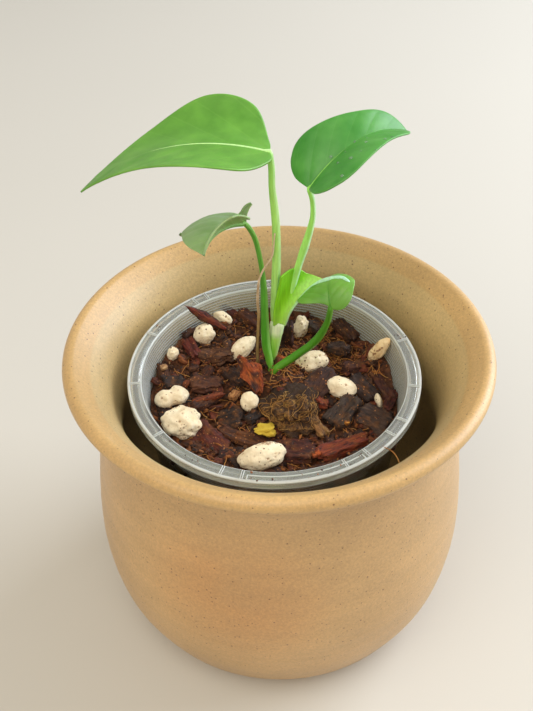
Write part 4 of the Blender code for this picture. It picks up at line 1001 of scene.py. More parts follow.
def bark_piece(shape, size, cuts, seed, matrix, tone, curl):
    """Adds one bark chip: a flaky slab with broken ends, ridged along its grain, placed by the matrix."""
    tint, grain = bark_layers(shape)
    at = Vector((seed * 7.31, seed * 3.17, seed * 1.73))

    def wave(x, y, z):
        return noise.noise(Vector((x, y, z)) + at)

    corners = bmesh.ops.create_cube(shape, size=1)["verts"]
    edges = {edge for vertex in corners for edge in vertex.link_edges}
    bmesh.ops.subdivide_edges(shape, edges=list(edges), cuts=cuts, use_grid_fill=True)
    made = [vertex for vertex in shape.verts if not vertex[grain].length]  # earlier chips have their grain
    for vertex in made:
        x, y, z = vertex.co
        face = math.copysign(1, z) if abs(z) > 0.4 else 2 * z
        end = 1 + 0.30 * wave(y * 3.2, 0, 0) + 0.22 * wave(y * 11, z * 3, 1)
        side = 1 + 0.34 * wave(x * 2.6, 3, 0) + 0.16 * wave(x * 9, z * 3, 4)
        corner = 1 - 0.10 * (abs(2 * x) ** 3) * (abs(2 * y) ** 3)
        ridge = wave(x * 1.6, y * 9, face) + 0.5 * wave(x * 4, y * 20, face)
        flake = 0.22 if wave(x * 2.4, y * 3.4, 7) > 0.12 else 0.0
        thick = 1 - 0.30 * max(abs(2 * x), abs(2 * y)) ** 6
        local = Vector((x * end * corner * size[0], y * side * corner * size[1],
                        (z * thick + 0.20 * ridge * abs(face) + flake * (0.5 + z)) * size[2]
                        + curl * (4 * x * x - 0.4)))
        vertex[grain] = local + at * 10 * MM
        vertex[tint] = tone
        vertex.co = matrix @ local


def lying(place, turn, tilt, lean=0.0):
    """The matrix of something on the mix: its place in millimetres, then turn, tilt and lean in degrees."""
    return (NURSERY @ Matrix.Translation(Vector(place) * MM) @ Matrix.Rotation(math.radians(turn), 4, "Z")
            @ Matrix.Rotation(math.radians(tilt), 4, "Y") @ Matrix.Rotation(math.radians(lean), 4, "X"))


def standing(ends):
    """The matrix of something that stands along Z between two points, its -Y face turned to FACING."""
    foot, top = ends
    along = (top - foot).normalized()
    across = along.cross(-FACING).normalized() * -1
    turn = Matrix((across, along.cross(across), along)).transposed().to_4x4()
    return NURSERY @ Matrix.Translation((foot + top) / 2) @ turn


def strewn(draw, reach=0.97):
    """A random place on the mix, in metres in the nursery pot's frame."""
    radius = mix_inside(MIX_DEPTH) * reach * math.sqrt(draw.random())
    angle = draw.uniform(0, math.tau)
    return radius * math.cos(angle), radius * math.sin(angle)


def offset_of(name):
    """Where the model's lump of this name reads its noise."""
    return Vector((sum(map(ord, name)) * 0.37, 0, 0))


def swelling(at, roughness, offset):
    """How far the model's lump swells at a place on its ball of half a unit."""
    return 1 + roughness * (noise.noise(at * 2.6 + offset) + 0.5 * noise.noise(at * 6 + offset))


def stone(shape, name, facts, pit_depth):
    """One pumice stone: the model's lump, finer, with open pits and the bulges of its own."""
    centre, size, turn, tilt, roughness, waist, bulges = facts
    layers = number_layers(shape, "pit", "soiled")
    stain_way, stain_spread = STAINS_AND_SHADE.get(name, NO_STAIN)
    level = 6 if max(size) > LARGE_STONE else 5
    bmesh.ops.create_icosphere(shape, subdivisions=level, radius=0.5)
    offset = offset_of(name)
    for vertex in shape.verts:
        way = vertex.co.normalized()
        narrow = 1 - waist * math.exp(-(vertex.co.x / 0.14) ** 2)
        place = Vector((vertex.co.x, vertex.co.y * narrow, vertex.co.z * narrow))
        place = place * swelling(vertex.co, roughness, offset)
        place = Vector([share * full for share, full in zip(place, size)])
        for direction, height, spread in bulges:
            away = (way - Vector(direction).normalized()).length / spread
            place += way * height * math.exp(-away * away)
        nearest = noise.voronoi(place / 1.7 + offset)[0][0]
        chosen = noise.noise(place / 2.6 - offset)
        pit = soft_step(0.40 - nearest, 0, 0.34) * soft_step(chosen, -0.05, 0.3)
        wave = 0.26 * noise.noise(place / 2.3 + offset) + 0.10 * noise.noise(place / 0.9 + offset)
        wave += 0.06 * noise.noise(place / 0.4 + offset)
        place += way * (wave - pit * pit_depth / MM)
        # On the pitted stone this dark patch is painted shade; on the others it is a stain
        stain_and_shade = math.exp(-((way - Vector(stain_way).normalized()).length / stain_spread) ** 2)
        buried = 0.5 * soft_step(-way.z, -0.35, 0.35)
        patchy = soft_step(noise.noise(place / 0.9 + offset) + stain_and_shade + buried, 0.55, 1.0)
        vertex[layers["pit"]] = 0.8 * max(pit, patchy)
        vertex[layers["soiled"]] = SOILED.get(name, SOILED_OTHERS)
        vertex.co = place * MM
    bmesh.ops.transform(shape, matrix=lying(centre, turn, tilt), verts=shape.verts)


class MONSTERA_OT_outer_pot(bpy.types.Operator):
    """Turn the stoneware outer pot with its rolled lip"""

    bl_idname = "monstera.outer_pot"
    bl_label = "Outer Pot"

    def execute(self, context):
        settings = context.scene.monstera_pot
        centre = Vector((RIM_RADIUS - LIP_BEAD, POT_HEIGHT - LIP_BEAD))
        inside = [Vector((0, FLOOR_THICKNESS)), Vector((FLOOR_RADIUS, FLOOR_THICKNESS)), *path_of(INSIDE, 6)]
        bead = [centre + LIP_BEAD * Vector((math.cos(math.radians(angle)), math.sin(math.radians(angle))))
                for angle in LIP_ANGLES]
        wall = path_of(OUTSIDE, 10)
        for point in wall:
            point.x += settings.throwing_rings * noise.noise(Vector((point.y / RING_PITCH, 0, 0)))
        foot = [Vector((FOOT_RADIUS, 1.6 * MM)), Vector((FOOT_RADIUS - 0.5 * MM, 0.5 * MM)),
                Vector((FOOT_RADIUS - 1.4 * MM, 0)), Vector((0, 0))]
        points = inside + bead + wall + foot
        inner = [1.0] * len(inside) + [0.0] * (len(points) - len(inside))
        lip = [1.0 if point.y > LIP_FROM else 0.0 for point in points]
        shape = profile_of(points, [("inner", inner), ("lip", lip)])
        spun(shape, POT_STEPS)
        finished("stoneware_pot", shape, "stoneware", ["outer_pot"], stoneware(settings))
        return {"FINISHED"}


class MONSTERA_OT_nursery_pot(bpy.types.Operator):
    """Mould the clear nursery pot with its ribs, wall ridges, rim loop and drain holes"""

    bl_idname = "monstera.nursery_pot"
    bl_label = "Nursery Pot"

    def execute(self, context):
        plastic = clear_plastic(context.scene.monstera_pot)
        mouth, rim, foot = NURSERY_MOUTH, NURSERY_RADIUS, NURSERY_FOOT
        floor = NURSERY_DEPTH - NURSERY_RECESS - NURSERY_WALL
        taper = (foot - NURSERY_WALL - mouth) / NURSERY_DEPTH
        ridges = []
        for row in range(WALL_RIDGE_ROWS, 0, -1):
            depth = 0.9 * MM + row * WALL_RIDGE_PITCH
            wall = mouth + taper * depth
            ridges += [(wall, -depth, 0.1), (wall, -depth + 0.45 * WALL_RIDGE_PITCH, 0.1),
                       (wall - WALL_RIDGE_RELIEF, -depth + 0.7 * WALL_RIDGE_PITCH, 0.9)]
        # Radius, height and how milky the plastic is there: the inside, the rim, then the outside
        profile = [
            (0, -floor, 0.3), (mouth + taper * floor, -floor, 0.3), *ridges, (mouth, -0.9 * MM, 0.3),
            (mouth + 0.06 * MM, -0.3 * MM, 1.0), (mouth + 0.35 * MM, 0, 1.0), (mouth + 0.55 * MM, 0, 0.2),
            (rim - 1.1 * MM, 0, 0.2), (rim - 0.9 * MM, 0, 0.9), (rim - 0.7 * MM, 0.12 * MM, 1.0),
            (rim - 0.3 * MM, 0.12 * MM, 1.0), (rim - 0.05 * MM, -0.1 * MM, 1.0), (rim, -0.5 * MM, 0.2),
            (rim, -NURSERY_SKIRT + 0.4 * MM, 0.2), (rim, -NURSERY_SKIRT + 0.2 * MM, 1.0),
            (rim - 0.3 * MM, -NURSERY_SKIRT, 1.0), (rim - NURSERY_WALL, -NURSERY_SKIRT, 0.6),
            (rim - NURSERY_WALL, -RIM_UNDERSIDE, 0.2), (mouth + NURSERY_WALL, -RIM_UNDERSIDE, 0.2),
            (foot + 0.3 * MM, -NURSERY_DEPTH + 2 * MM, 0.3), (foot - 1.2 * MM, -NURSERY_DEPTH, 0.6),
            (foot - 3.2 * MM, -NURSERY_DEPTH, 0.6), (foot - 4.2 * MM, -NURSERY_DEPTH + NURSERY_RECESS, 0.3),
            (0, -NURSERY_DEPTH + NURSERY_RECESS, 0.3),
        ]
        shape = profile_of([point[:2] for point in profile], [("milk", [point[2] for point in profile])])
        spun(shape, POT_STEPS)
        bmesh.ops.transform(shape, matrix=NURSERY, verts=shape.verts)
        pot = finished("nursery_pot_shell", shape, "clear_plastic", ["nursery_pot"], plastic)
        self.drill(pot, floor)
        self.raise_ribs(plastic)
        return {"FINISHED"}

    def drill(self, pot, floor):
        """Cuts the drain holes through the floor."""
        shape = bmesh.new()
        for x, y, radius in DRAIN_HOLES:
            made = bmesh.ops.create_cone(shape, cap_ends=True, segments=24, radius1=radius, radius2=radius,
                                         depth=8 * MM)["verts"]
            bmesh.ops.translate(shape, vec=(x, y, -floor), verts=made)
        bmesh.ops.transform(shape, matrix=NURSERY, verts=shape.verts)
        drills = placed("drills", shape)
        boolean = pot.modifiers.new("Drain holes", "BOOLEAN")
        boolean.operation = "DIFFERENCE"
        boolean.object = drills
        bpy.context.view_layer.update()
        cut = bpy.data.meshes.new_from_object(pot.evaluated_get(bpy.context.evaluated_depsgraph_get()))
        pot.modifiers.clear()
        pot.data = cut
        bpy.data.objects.remove(drills)

    def raise_ribs(self, plastic):
        """The pairs of short bars across the rim's top face and the raised loop at the front."""
        shape = bmesh.new()
        milk = number_layers(shape, "milk")["milk"]
        middle = (NURSERY_MOUTH + NURSERY_RADIUS) / 2
        for bearing in RIB_BEARINGS:
            for side in (-1, 1):
                made = bmesh.ops.create_cube(shape, size=1)["verts"]
                bmesh.ops.scale(shape, vec=RIB_BAR, verts=made)
                bmesh.ops.translate(shape, vec=(middle, side * RIB_HALF_GAP, RIB_HEIGHT), verts=made)
                bmesh.ops.rotate(shape, matrix=Matrix.Rotation(math.radians(bearing), 3, "Z"), verts=made)
        bmesh.ops.bevel(shape, geom=list(shape.edges), offset=0.08 * MM, segments=2, profile=0.5,
                        affect="EDGES", material=-1)
        start, end = (math.radians(bearing) for bearing in LOOP_BEARINGS)
        bearings = [start + (end - start) * step / 40 for step in range(41)]
        radii = (LOOP_RADII[0], sum(LOOP_RADII) / 2, LOOP_RADII[1])
        for radius in LOOP_RADII:
            sweep(shape, [self.on_loop(radius, bearing) for bearing in bearings], 8)
        for bearing in (start, end):
            sweep(shape, [self.on_loop(radius, bearing) for radius in radii], 8)
        for vertex in shape.verts:
            vertex[milk] = 1.0
        bmesh.ops.recalc_face_normals(shape, faces=shape.faces)
        bmesh.ops.transform(shape, matrix=NURSERY, verts=shape.verts)
        finished("nursery_pot_ribs", shape, "clear_plastic", [], plastic)

    def on_loop(self, radius, bearing):
        """A point of the raised loop's path."""
        return Vector((radius * math.cos(bearing), radius * math.sin(bearing), LOOP_HEIGHT, LOOP_THICKNESS))


class MONSTERA_OT_potting_mix(bpy.types.Operator):
    """Fill the nursery pot with peat and bark, with chips, crumbs, grit and fibres on top"""

    bl_idname = "monstera.potting_mix"
    bl_label = "Potting Mix"

    def execute(self, context):
        settings = context.scene.monstera_mix
        bark_made = bark()
        self.ground(settings)
        self.large_chips(bark_made)
        self.small_chips(settings, bark_made)
        self.crumbs(settings, bark_made)
        self.fibres(settings)
        return {"FINISHED"}

    def ground(self, settings):
        """The mix itself: a fine grid pressed into a disc, raised by mix_height and closed below."""
        shape = bmesh.new()
        bmesh.ops.create_grid(shape, x_segments=MIX_CELLS, y_segments=MIX_CELLS, size=1)
        for vertex in shape.verts:
            x, y = vertex.co.xy
            x, y = x * math.sqrt(1 - y * y / 2), y * math.sqrt(1 - x * x / 2)
            reach = mix_inside(MIX_DEPTH)
            place = Vector((x, y, 0)) * reach
            height = mix_height(place.x, place.y)
            lumps = 1.1 * noise.noise(place / (2.6 * MM)) + 0.6 * noise.noise(place / (1.1 * MM))
            height += (lumps - 1.6) * MM
            edge = Vector((x, y)).length
            if edge > 0.97:
                place *= mix_inside(-height) / reach
            vertex.co = (place.x, place.y, height)
        rim = [edge for edge in shape.edges if edge.is_boundary]
        floor = NURSERY_DEPTH - NURSERY_RECESS - NURSERY_WALL - GAP
        for depth in (30 * MM, 60 * MM, floor):
            made = bmesh.ops.extrude_edge_only(shape, edges=rim)["geom"]
            for vertex in (part for part in made if isinstance(part, bmesh.types.BMVert)):
                around = vertex.co.xy.normalized() * (mix_inside(depth) - 0.2 * MM)
                vertex.co = (around.x, around.y, -depth)
            rim = [part for part in made if isinstance(part, bmesh.types.BMEdge) and part.is_boundary]
        bmesh.ops.holes_fill(shape, edges=rim, sides=0)
        bmesh.ops.recalc_face_normals(shape, faces=shape.faces)
        bmesh.ops.transform(shape, matrix=NURSERY, verts=shape.verts)
        finished("mix_ground", shape, "bark_mix", ["potting_mix"], soil(settings))

    def large_chips(self, bark_made):
        """The chips and odd pieces that the photograph shows one by one."""
        shape = bmesh.new()
        for number, (x, y, height, length, width, thickness, turn, tilt, colour) in enumerate(CHIPS):
            size = Vector((length, width, thickness)) * MM
            lean = number * 37 % 31 - 15  # scattered between -15 and 15 degrees
            place = lying((x, y, height - 0.25 * thickness), turn, 2.0 * tilt, lean)
            bark_piece(shape, size, 13, number + 1, place, linear(colour), 0.35 * MM)
        for number, (x, y, height, length, width, thickness, turn, colour) in enumerate(BITS):
            size = Vector((length, width, thickness)) * MM
            bark_piece(shape, size, 6, 60 + number, lying((x, y, height), turn, 0), linear(colour), 0.2 * MM)
        # The dark flat chip that stands up behind the stem
        standing_chip = lying((5.2, 26.1, -6.0), 82, 0) @ Matrix.Rotation(math.radians(84), 4, "Y")
        bark_piece(shape, Vector((12, 4.5, 3.2)) * MM, 9, 77, standing_chip, linear("#4a3030"), 0.3 * MM)
        finished("bark_chips_large", shape, "bark_mix", [], bark_made)

    def small_chips(self, settings, bark_made):
        """Bark chips strewn over the whole mix, half sunk in it."""
        draw = random.Random(5)
        shape = bmesh.new()
        for number in range(settings.chips):
            x, y = strewn(draw)
            size = Vector((draw.uniform(2.4, 8.5), draw.uniform(1.4, 4.2), draw.uniform(0.8, 2.0))) * MM
            height = mix_height(x, y) - draw.uniform(0.2, 1.4) * MM
            place = lying((x / MM, y / MM, height / MM), draw.uniform(0, 360), draw.uniform(-40, 40),
                          draw.uniform(-36, 36))
            tone = linear(draw.choice(SMALL_CHIP_COLOURS))
            bark_piece(shape, size, 2, 100 + number, place, tone, draw.uniform(-0.2, 0.3) * MM)
        finished("bark_chips_small", shape, "bark_mix", [], bark_made)

    def crumbs(self, settings, bark_made):
        """Grit first, then crumbs, the last of which are spilt on the nursery pot's rim."""
        draw = random.Random(7)
        shape = bmesh.new()
        tint, grain = bark_layers(shape)
        colours = [linear(code) for code in CRUMB_COLOURS]
        pale = linear(GRIT_COLOUR)
        for number in range(settings.crumbs + GRIT):
            is_grit = number < GRIT
            x, y = strewn(draw, 0.98)
            radius = draw.uniform(0.25, 0.75) if is_grit else draw.choice((0.3, 0.45, 0.45, 0.7, 0.7, 1.1))
            squash = Vector((draw.uniform(0.6, 1.5), draw.uniform(0.5, 1.1), draw.uniform(0.4, 0.9)))
            height = mix_height(x, y) + draw.uniform(-1.0, 0.4) * MM
            if number >= settings.crumbs + GRIT - SPILT:
                bearing = math.radians(draw.choice(SPILT_BEARINGS) + draw.uniform(-4, 4))
                out = draw.uniform(47.6, 51.4) * MM
                x, y, height = out * math.cos(bearing), out * math.sin(bearing), 0.25 * MM
                radius *= 0.4
            made = bmesh.ops.create_icosphere(shape, subdivisions=1, radius=radius * MM)["verts"]
            place = lying((x / MM, y / MM, height / MM), draw.uniform(0, 360), draw.uniform(-40, 40))
            tone = pale if is_grit else draw.choice(colours)
            for vertex in made:
                local = vertex.co * squash
                vertex[grain] = local + Vector((number * MM, 0, 0))
                vertex[tint] = tone
                vertex.co = place @ (local * draw.uniform(0.75, 1.2))
        finished("mix_crumbs", shape, "bark_mix", [], bark_made, smooth=False)

    def fibres(self, settings):
        """Coir that wanders over the mix, most of it at the back right, and the root over the rim."""
        draw = random.Random(9)
        shape = bmesh.new()
        for _ in range(settings.fibres):
            x, y = strewn(draw, 0.95)
            if draw.random() < 0.45:
                x, y = abs(x), abs(y)
            heading = draw.uniform(0, math.tau)
            radius = draw.choice((0.10, 0.12, 0.16, 0.22)) * MM
            points = []
            for step in range(7):
                height = mix_height(x, y) + draw.uniform(0.1, 0.9) * MM
                points.append((NURSERY @ Vector((x, y, height))).to_4d())
                points[-1].w = radius * (1 - 0.08 * step)
                heading += draw.uniform(-0.5, 0.5)
                x += FIBRE_STEP * math.cos(heading)
                y += FIBRE_STEP * math.sin(heading)
                if math.hypot(x, y) > mix_inside(MIX_DEPTH) * 0.97:
                    break
            if len(points) > 3:
                sweep(shape, points, 4)
        over = [NURSERY @ (Vector(point) * MM) for point in ROOT_OVER_RIM]
        hanging = [point.to_4d() for point in smooth_curve(over, 4)]
        for point in hanging:
            point.w = ROOT_OVER_RIM_RADIUS
        sweep(shape, hanging, 5)
        bmesh.ops.recalc_face_normals(shape, faces=shape.faces)
        finished("mix_fibres", shape, "root_and_moss", [],
                 paper("coir_fibre", [(0.0, "#a8662c"), (1.0, "#e0ac64"), (0.5, "#c4843c")]))


class MONSTERA_OT_pumice(bpy.types.Operator):
    """Shape the thirteen pumice stones with their pits"""

    bl_idname = "monstera.pumice"
    bl_label = "Pumice Stones"

    def execute(self, context):
        settings = context.scene.monstera_stones
        pale = pumice("tumbled_pumice", "#f7e8c8", "#ead4ae", "#8e5f3c")
        tan = pumice("tan_pumice_stone", "#ecd2a4", "#d0a468", "#6e3a1c")
        for name, facts in STONES.items():
            shape = bmesh.new()
            stone(shape, name, facts, settings.pits)
            slot, made = ("tan_pumice", tan) if name == "pumice_tan" else ("pumice", pale)
            finished(f"{name}_stone", shape, slot, [name], made)
        return {"FINISHED"}


class MONSTERA_OT_loose_pieces(bpy.types.Operator):
    """Carve the two standing bark chips and the ball of old roots and moss"""

    bl_idname = "monstera.loose_pieces"
    bl_label = "Standing Chips and Root Ball"

    def execute(self, context):
        made = bark()
        self.spear(made)
        self.wedge(made)
        self.root_ball()
        self.ball_fibres()
        return {"FINISHED"}

    def spear(self, made):
        """The pointed chip at the back left: flat, ridged lengthwise, darker at its margins."""
        shape = bmesh.new()
        tint, grain = bark_layers(shape)
        length = (SPEAR[1] - SPEAR[0]).length
        bmesh.ops.create_cone(shape, cap_ends=True, segments=40, radius1=1, radius2=1, depth=1)
        sides = [edge for edge in shape.edges if abs(edge.verts[0].co.z - edge.verts[1].co.z) > 0.5]
        bmesh.ops.subdivide_edges(shape, edges=sides, cuts=48)
        for vertex in shape.verts:
            x, y, z = vertex.co
            width = read_off(SPEAR_WIDTHS, z + 0.5)
            angle = math.atan2(y, x)
            ridge = 1 + 0.16 * noise.noise(Vector((math.cos(angle) * 4, math.sin(angle) * 4, z * 2.2)))
            ridge += 0.10 * noise.noise(Vector((math.cos(angle) * 11, math.sin(angle) * 11, z * 7)))
            vertex.co = Vector((x * ridge * width, y * ridge * min(width, SPEAR_THICKNESS / 2)
                                + 0.15 * MM * math.cos(math.pi * z), z * length))
            vertex[grain] = Vector((vertex.co.z, vertex.co.x, vertex.co.y))
            margin = soft_step(abs(x), 0.55, 0.95)
            vertex[tint] = Vector(linear("#8a3a1c")).lerp(Vector(linear("#3c1c12")), margin)
        bmesh.ops.transform(shape, matrix=standing(SPEAR), verts=shape.verts)
        finished("bark_spear", shape, "dark_bark", ["bark_chip_spear"], made)

    def wedge(self, made):
        """The orange-brown chip beside the stem: bowed, split along its grain, damp in patches."""
        shape = bmesh.new()
        tint, grain = bark_layers(shape)
        length = (WEDGE[1] - WEDGE[0]).length
        bmesh.ops.create_cube(shape, size=1)
        bmesh.ops.subdivide_edges(shape, edges=list(shape.edges), cuts=23, use_grid_fill=True)
        for vertex in shape.verts:
            x, y, z = vertex.co
            narrow = read_off(WEDGE_WIDTHS, z + 0.5)
            bow = WEDGE_BOW * math.cos(math.pi * z)
            ridge = 0.16 * noise.noise(Vector((x * 9, math.copysign(1, y), z * 2.0)))
            split = 0.12 * noise.noise(Vector((x * 22, math.copysign(2, y), z * 4.0)))
            round_off = 1 - 0.3 * (2 * abs(x)) ** 4
            out = x * narrow + 0.1 * noise.noise(vertex.co * 4)
            deep = y * round_off + 0.5 * noise.noise(vertex.co * 2) + ridge + split
            ragged = 0.04 * noise.noise(Vector((x * 14, 0, 5))) * abs(2 * z)
            vertex.co = Vector((out * WEDGE_SIZE[0] + bow, deep * WEDGE_SIZE[1],
                                (z + 0.06 * noise.noise(vertex.co * 3) + ragged) * length))
            vertex[grain] = Vector((vertex.co.z, vertex.co.x, vertex.co.y))
            damp = soft_step(noise.noise(vertex.co / (3 * MM)), 0.0, 0.35)
            vertex[tint] = Vector(linear("#c06a30")).lerp(Vector(linear("#5a2c18")), damp)
        bmesh.ops.transform(shape, matrix=standing(WEDGE), verts=shape.verts)
        finished("bark_wedge", shape, "orange_bark", ["bark_chip_orange"], made)

    def skin_of_ball(self, way):
        """The ball's skin in one direction from its centre, and how deep the crease is there, from 0 to 1."""
        offset = offset_of("moss_lump")
        at = way * 0.5
        place = at * swelling(at, MOSS_ROUGHNESS, offset) * MOSS_SIZE
        lumps = abs(noise.noise(place / (3.6 * MM) + offset))
        tufts = abs(noise.noise(place / (1.3 * MM)))
        fine = noise.noise(place / (0.5 * MM))
        crease = 1 - soft_step(lumps, 0, 0.22) * soft_step(tufts, -0.05, 0.2)
        return MOSS_PLACE + place + way * (2.8 * lumps + 1.1 * tufts + 0.25 * fine - 0.9) * MM, crease

    def root_ball(self):
        """The ball, with painted shade in its creases and at its back, and the yellow lump at its left foot.
        """
        shape = bmesh.new()
        dark = number_layers(shape, "dark")["dark"]
        bmesh.ops.create_icosphere(shape, subdivisions=6, radius=0.5)
        for vertex in shape.verts:
            way = vertex.co.normalized()
            vertex.co, crease = self.skin_of_ball(way)
            # Painted shade: the dark share darkens the creases and the back of the ball
            back = soft_step(way.y + 0.25 * noise.noise(way * 3), -0.15, 0.25)
            vertex[dark] = max(0.85 * crease, 0.9 * back)
        patch = bmesh.ops.create_icosphere(shape, subdivisions=4, radius=1)["verts"]
        for vertex in patch:
            bump = 1 + 0.7 * noise.noise(vertex.co * 1.4) + 0.35 * noise.noise(vertex.co * 3.5)
            place = Vector([share * half for share, half in zip(vertex.co, YELLOW_SIZE)])
            vertex.co = YELLOW_PLACE + place * bump * MM
            vertex[dark] = -1.0
        bmesh.ops.transform(shape, matrix=NURSERY, verts=shape.verts)
        finished("root_ball", shape, "root_and_moss", ["moss_lump"], root_plug())

    def ball_fibres(self):
        """Fine roots that wander over the ball's front."""
        draw = random.Random(3)
        shape = bmesh.new()
        for _ in range(BALL_FIBRES):
            turn = draw.uniform(math.radians(150), math.radians(390))
            rise = draw.uniform(0.15, 1.2)
            heading = draw.uniform(0, math.tau)
            radius = draw.choice((0.10, 0.14, 0.20)) * MM
            points = []
            for step in range(10):
                way = forward(rise, turn)
                above = self.skin_of_ball(way)[0] + way * draw.uniform(0.0, 0.5) * MM
                points.append((NURSERY @ above).to_4d())
                points[-1].w = radius * (1 - 0.07 * step)
                heading += draw.uniform(-0.2, 0.7)
                turn += 0.10 * math.cos(heading) / math.cos(min(rise, 1.2))
                rise = min(1.4, max(0.05, rise + 0.10 * math.sin(heading)))
            sweep(shape, points, 4)
        bmesh.ops.recalc_face_normals(shape, faces=shape.faces)
        finished("root_ball_fibres", shape, "root_and_moss", [],
                 paper("golden_root", [(0.0, "#9a6a30"), (1.0, "#dcb068"), (0.5, "#b8863e")]))


class MONSTERA_OT_leaves(bpy.types.Operator):
    """Grow the four leaves with their petioles, veins and sheaths"""

    bl_idname = "monstera.leaves"
    bl_label = "Leaves"

    def execute(self, context):
        settings = context.scene.monstera_leaves
        for name, leaf in LEAVES.items():
            deep, light, vein = LEAF_TONES[name]
            upper = leaf_face(f"{name}_upper", deep, light, vein, 0.12, 0.44)
            under = leaf_face(f"{name}_under", light, "#8fb866", "#c4da98", 0.30, 0.5)
            shape = bmesh.new()
            blade(shape, leaf, settings)
            if name == "leaf_right":
                self.drops(BVHTree.FromBMesh(shape), settings.thickness)
            piece = finished(f"{name}_blade", shape, "leaf", [name], upper, under)
            thicken(piece, settings.thickness, 1)
            self.stalk(name, leaf)
        folded("leaf_right_sheath", "leaf_right", stalk_skin("sheath_skin", *SHEATH_TONES, 0.4),
               SHEATH, 10, 30, SHEATH_THICKNESS)
        # Painted highlight: a pale band along the sheath's margin and over the low leaf's crest
        swept("leaf_low_right_margin_highlight", "leaf", ["leaf_low_right"],
              stalk_skin("margin_highlight_skin", *MARGIN_HIGHLIGHT_TONES, 0.36), path_of(MARGIN_AND_CREST_HIGHLIGHT, 8), 16,
              lambda along, angle: 1 + 0.12 * math.cos(2 * angle))
        folded("leaf_left_small_lobe", "leaf_left_small", bpy.data.materials["leaf_left_small_upper"],
               LOBE_OF_SMALL_LEAF, 8, 14, LOBE_THICKNESS)
        return {"FINISHED"}

    def drops(self, face_of_leaf, thickness):
        """Water drops, flattened against the leaf where each one lies."""
        shape = bmesh.new()
        for x, y, z, radius in DROPS:
            place, normal, _, _ = face_of_leaf.find_nearest(Vector((x, y, z)) * MM)
            made = bmesh.ops.create_icosphere(shape, subdivisions=3, radius=radius * MM)["verts"]
            upright = normal.to_track_quat("Z", "Y").to_matrix().to_4x4()
            turn = (Matrix.Translation(place + normal * thickness / 2) @ upright
                    @ Matrix.Diagonal((1, 1, DROP_FLATTENING, 1)))
            bmesh.ops.transform(shape, matrix=turn, verts=made)
        finished("leaf_right_drops", shape, "leaf", [], water())

    def stalk(self, name, leaf):
        """The petiole with its groove and, running on from it, the midrib that stands out under the blade."""
        path = path_of([*leaf["path"], leaf["foot"]], 8)
        ribs = midrib(leaf, MIDRIB_REACH, 30)
        for index, (place, rise, heading) in enumerate(ribs[1:], 1):
            upright = blade_axes(leaf, MIDRIB_REACH * index / (len(ribs) - 1), rise, heading)[1]
            radius = leaf["foot"][3] * MM * (1 - index / len(ribs)) * 0.8 + 0.15 * MM
            point = (place - upright * radius * 0.6).to_4d()
            point.w = radius
            path.append(point)
        swept(f"{name}_petiole", "leaf", [name], stalk_skin(f"{name}_skin", *STALK_TONES[name], 0.36),
              path, 28, self.grooved)

    def grooved(self, along, angle):
        """A stalk with one groove down its side and low ridges round it."""
        groove = 0.14 * math.exp(-((angle - 0.9) / 0.28) ** 2)
        return 1 - groove + 0.03 * math.sin(3 * angle + 9 * along)


class MONSTERA_OT_stem(bpy.types.Operator):
    """Make the pale crown of the stem and the dry sheath beside it"""

    bl_idname = "monstera.stem"
    bl_label = "Stem and Dry Sheath"

    def execute(self, context):
        swept("crown_of_stem", "pale_stem", ["stem_crown"], stalk_skin("crown_skin", *CROWN_TONES, 0.42),
              path_of(STEM_PATH, 10), 32, self.noded)
        swept("dry_sheath_strand", "dry_sheath", ["dry_sheath"],
              paper("dried_sheath", [(0.0, "#7a6a3c"), (1.0, "#f2dcbc"), (0.40, "#b89c64"),
                                     (0.52, "#ecd2b0")]),
              path_of(DRY_SHEATH_PATH, 10), 20, self.curled_strip)
        return {"FINISHED"}

    def noded(self, along, angle):
        """A stem that is nearly round, with the ring of its node."""
        return 1 + 0.05 * math.sin(2 * angle + 5 * along) + 0.05 * math.exp(-((along - 0.70) / 0.03) ** 2)

    def curled_strip(self, along, angle):
        """A flat strip that twists once on its way up."""
        turned = angle - 3.2 * along
        fibrous = 0.12 * noise.noise(Vector((along * 30, math.cos(angle), 0)))
        return 0.42 + 0.6 * abs(math.cos(turned)) + fibrous


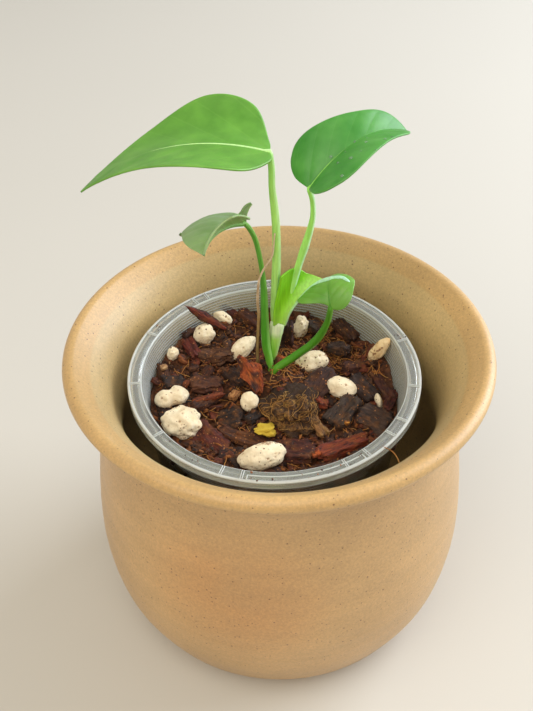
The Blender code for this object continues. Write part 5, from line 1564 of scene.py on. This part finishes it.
class MONSTERA_OT_stage(bpy.types.Operator):
    """Set the pale floor, the soft lights and the camera at the photograph's angle"""

    bl_idname = "monstera.stage"
    bl_label = "Stage, Lights and Camera"

    def execute(self, context):
        scene = context.scene
        settings = scene.monstera_stage
        shape = bmesh.new()
        bmesh.ops.create_grid(shape, x_segments=1, y_segments=1, size=FLOOR_HALF_WIDTH)
        made, tree, shader, place = surface("pale_floor", Roughness=0.8)
        clouds = add(tree, "ShaderNodeTexNoise", {"Vector": place, "Scale": per(400), "Detail": 2.0})
        tone = add(tree, "ShaderNodeMix", {FACTOR: clouds.outputs["Fac"], COLOUR_A: tuple(settings.floor),
                                           COLOUR_B: linear("#cdc9bf")}, data_type="RGBA")
        tree.links.new(tone.outputs[COLOUR_OUT], shader.inputs["Base Color"])
        floor = placed("floor", shape, made)
        world = bpy.data.worlds.new("room")
        world.use_nodes = True
        background = world.node_tree.nodes["Background"]
        background.inputs["Color"].default_value = linear("#f6f2ea")
        background.inputs["Strength"].default_value = ROOM_STRENGTH
        scene.world = world
        self.light("window", *WINDOW, settings.key, "#eaf2ff")
        self.light("room_fill", *ROOM_FILL, settings.fill, "#fff6e8")
        scene.view_settings.view_transform = "Standard"
        self.camera(scene)
        return {"FINISHED"}

    def light(self, name, place, width, power, colour):
        """A round soft lamp that faces the plant."""
        data = bpy.data.lights.new(name, "AREA")
        data.shape = "DISK"
        data.size = width
        data.energy = power
        data.color = linear(colour)[:3]
        lamp = bpy.data.objects.new(name, data)
        bpy.context.scene.collection.objects.link(lamp)
        lamp.location = place
        lamp.rotation_euler = (CAMERA_AIM - Vector(place)).to_track_quat("-Z", "Y").to_euler()

    def camera(self, scene):
        """The camera of the photograph: its place, aim, roll and field of view."""
        data = bpy.data.cameras.new("camera")
        data.sensor_width = 36
        data.lens = CAMERA_LENS
        data.clip_start = 0.01
        behind = Vector((0, -math.cos(CAMERA_ELEVATION), math.sin(CAMERA_ELEVATION)))
        place = CAMERA_AIM + CAMERA_DISTANCE * behind
        ahead = (CAMERA_AIM - place).normalized()
        level = ahead.cross(Vector((0, 0, 1))).normalized()
        above = level.cross(ahead)
        right = math.cos(CAMERA_ROLL) * level + math.sin(CAMERA_ROLL) * above
        up = math.cos(CAMERA_ROLL) * above - math.sin(CAMERA_ROLL) * level
        camera = bpy.data.objects.new("camera", data)
        scene.collection.objects.link(camera)
        camera.matrix_world = Matrix.Translation(place) @ Matrix((right, up, -ahead)).transposed().to_4x4()
        scene.camera = camera


class MONSTERA_PT_sidebar(bpy.types.Panel):
    """The plant's settings and its pieces, in the order that they are made"""

    bl_label = "Potted Monstera"
    bl_idname = "MONSTERA_PT_sidebar"
    bl_space_type = "VIEW_3D"
    bl_region_type = "UI"
    bl_category = "Monstera"

    def draw(self, context):
        for group in SETTINGS:
            for name in SETTINGS[group].__annotations__:
                self.layout.prop(getattr(context.scene, group), name)
        for piece in PIECES:
            self.layout.operator(piece.bl_idname)


SETTINGS = {"monstera_pot": PotSettings, "monstera_mix": MixSettings, "monstera_stones": StoneSettings,
            "monstera_leaves": LeafSettings, "monstera_stage": StageSettings}
PIECES = (MONSTERA_OT_outer_pot, MONSTERA_OT_nursery_pot, MONSTERA_OT_potting_mix, MONSTERA_OT_pumice,
          MONSTERA_OT_loose_pieces, MONSTERA_OT_leaves, MONSTERA_OT_stem, MONSTERA_OT_stage)


def register():
    for group in (*SETTINGS.values(), *PIECES, MONSTERA_PT_sidebar):
        bpy.utils.register_class(group)
    for name, group in SETTINGS.items():
        setattr(bpy.types.Scene, name, PointerProperty(type=group))


def unregister():
    for name in SETTINGS:
        delattr(bpy.types.Scene, name)
    for group in reversed((*SETTINGS.values(), *PIECES, MONSTERA_PT_sidebar)):
        bpy.utils.unregister_class(group)


def main():
    register()
    bpy.ops.monstera.outer_pot()
    bpy.ops.monstera.nursery_pot()
    bpy.ops.monstera.potting_mix()
    bpy.ops.monstera.pumice()
    bpy.ops.monstera.loose_pieces()
    bpy.ops.monstera.leaves()
    bpy.ops.monstera.stem()
    bpy.ops.monstera.stage()


if __name__ == "__main__":
    main()
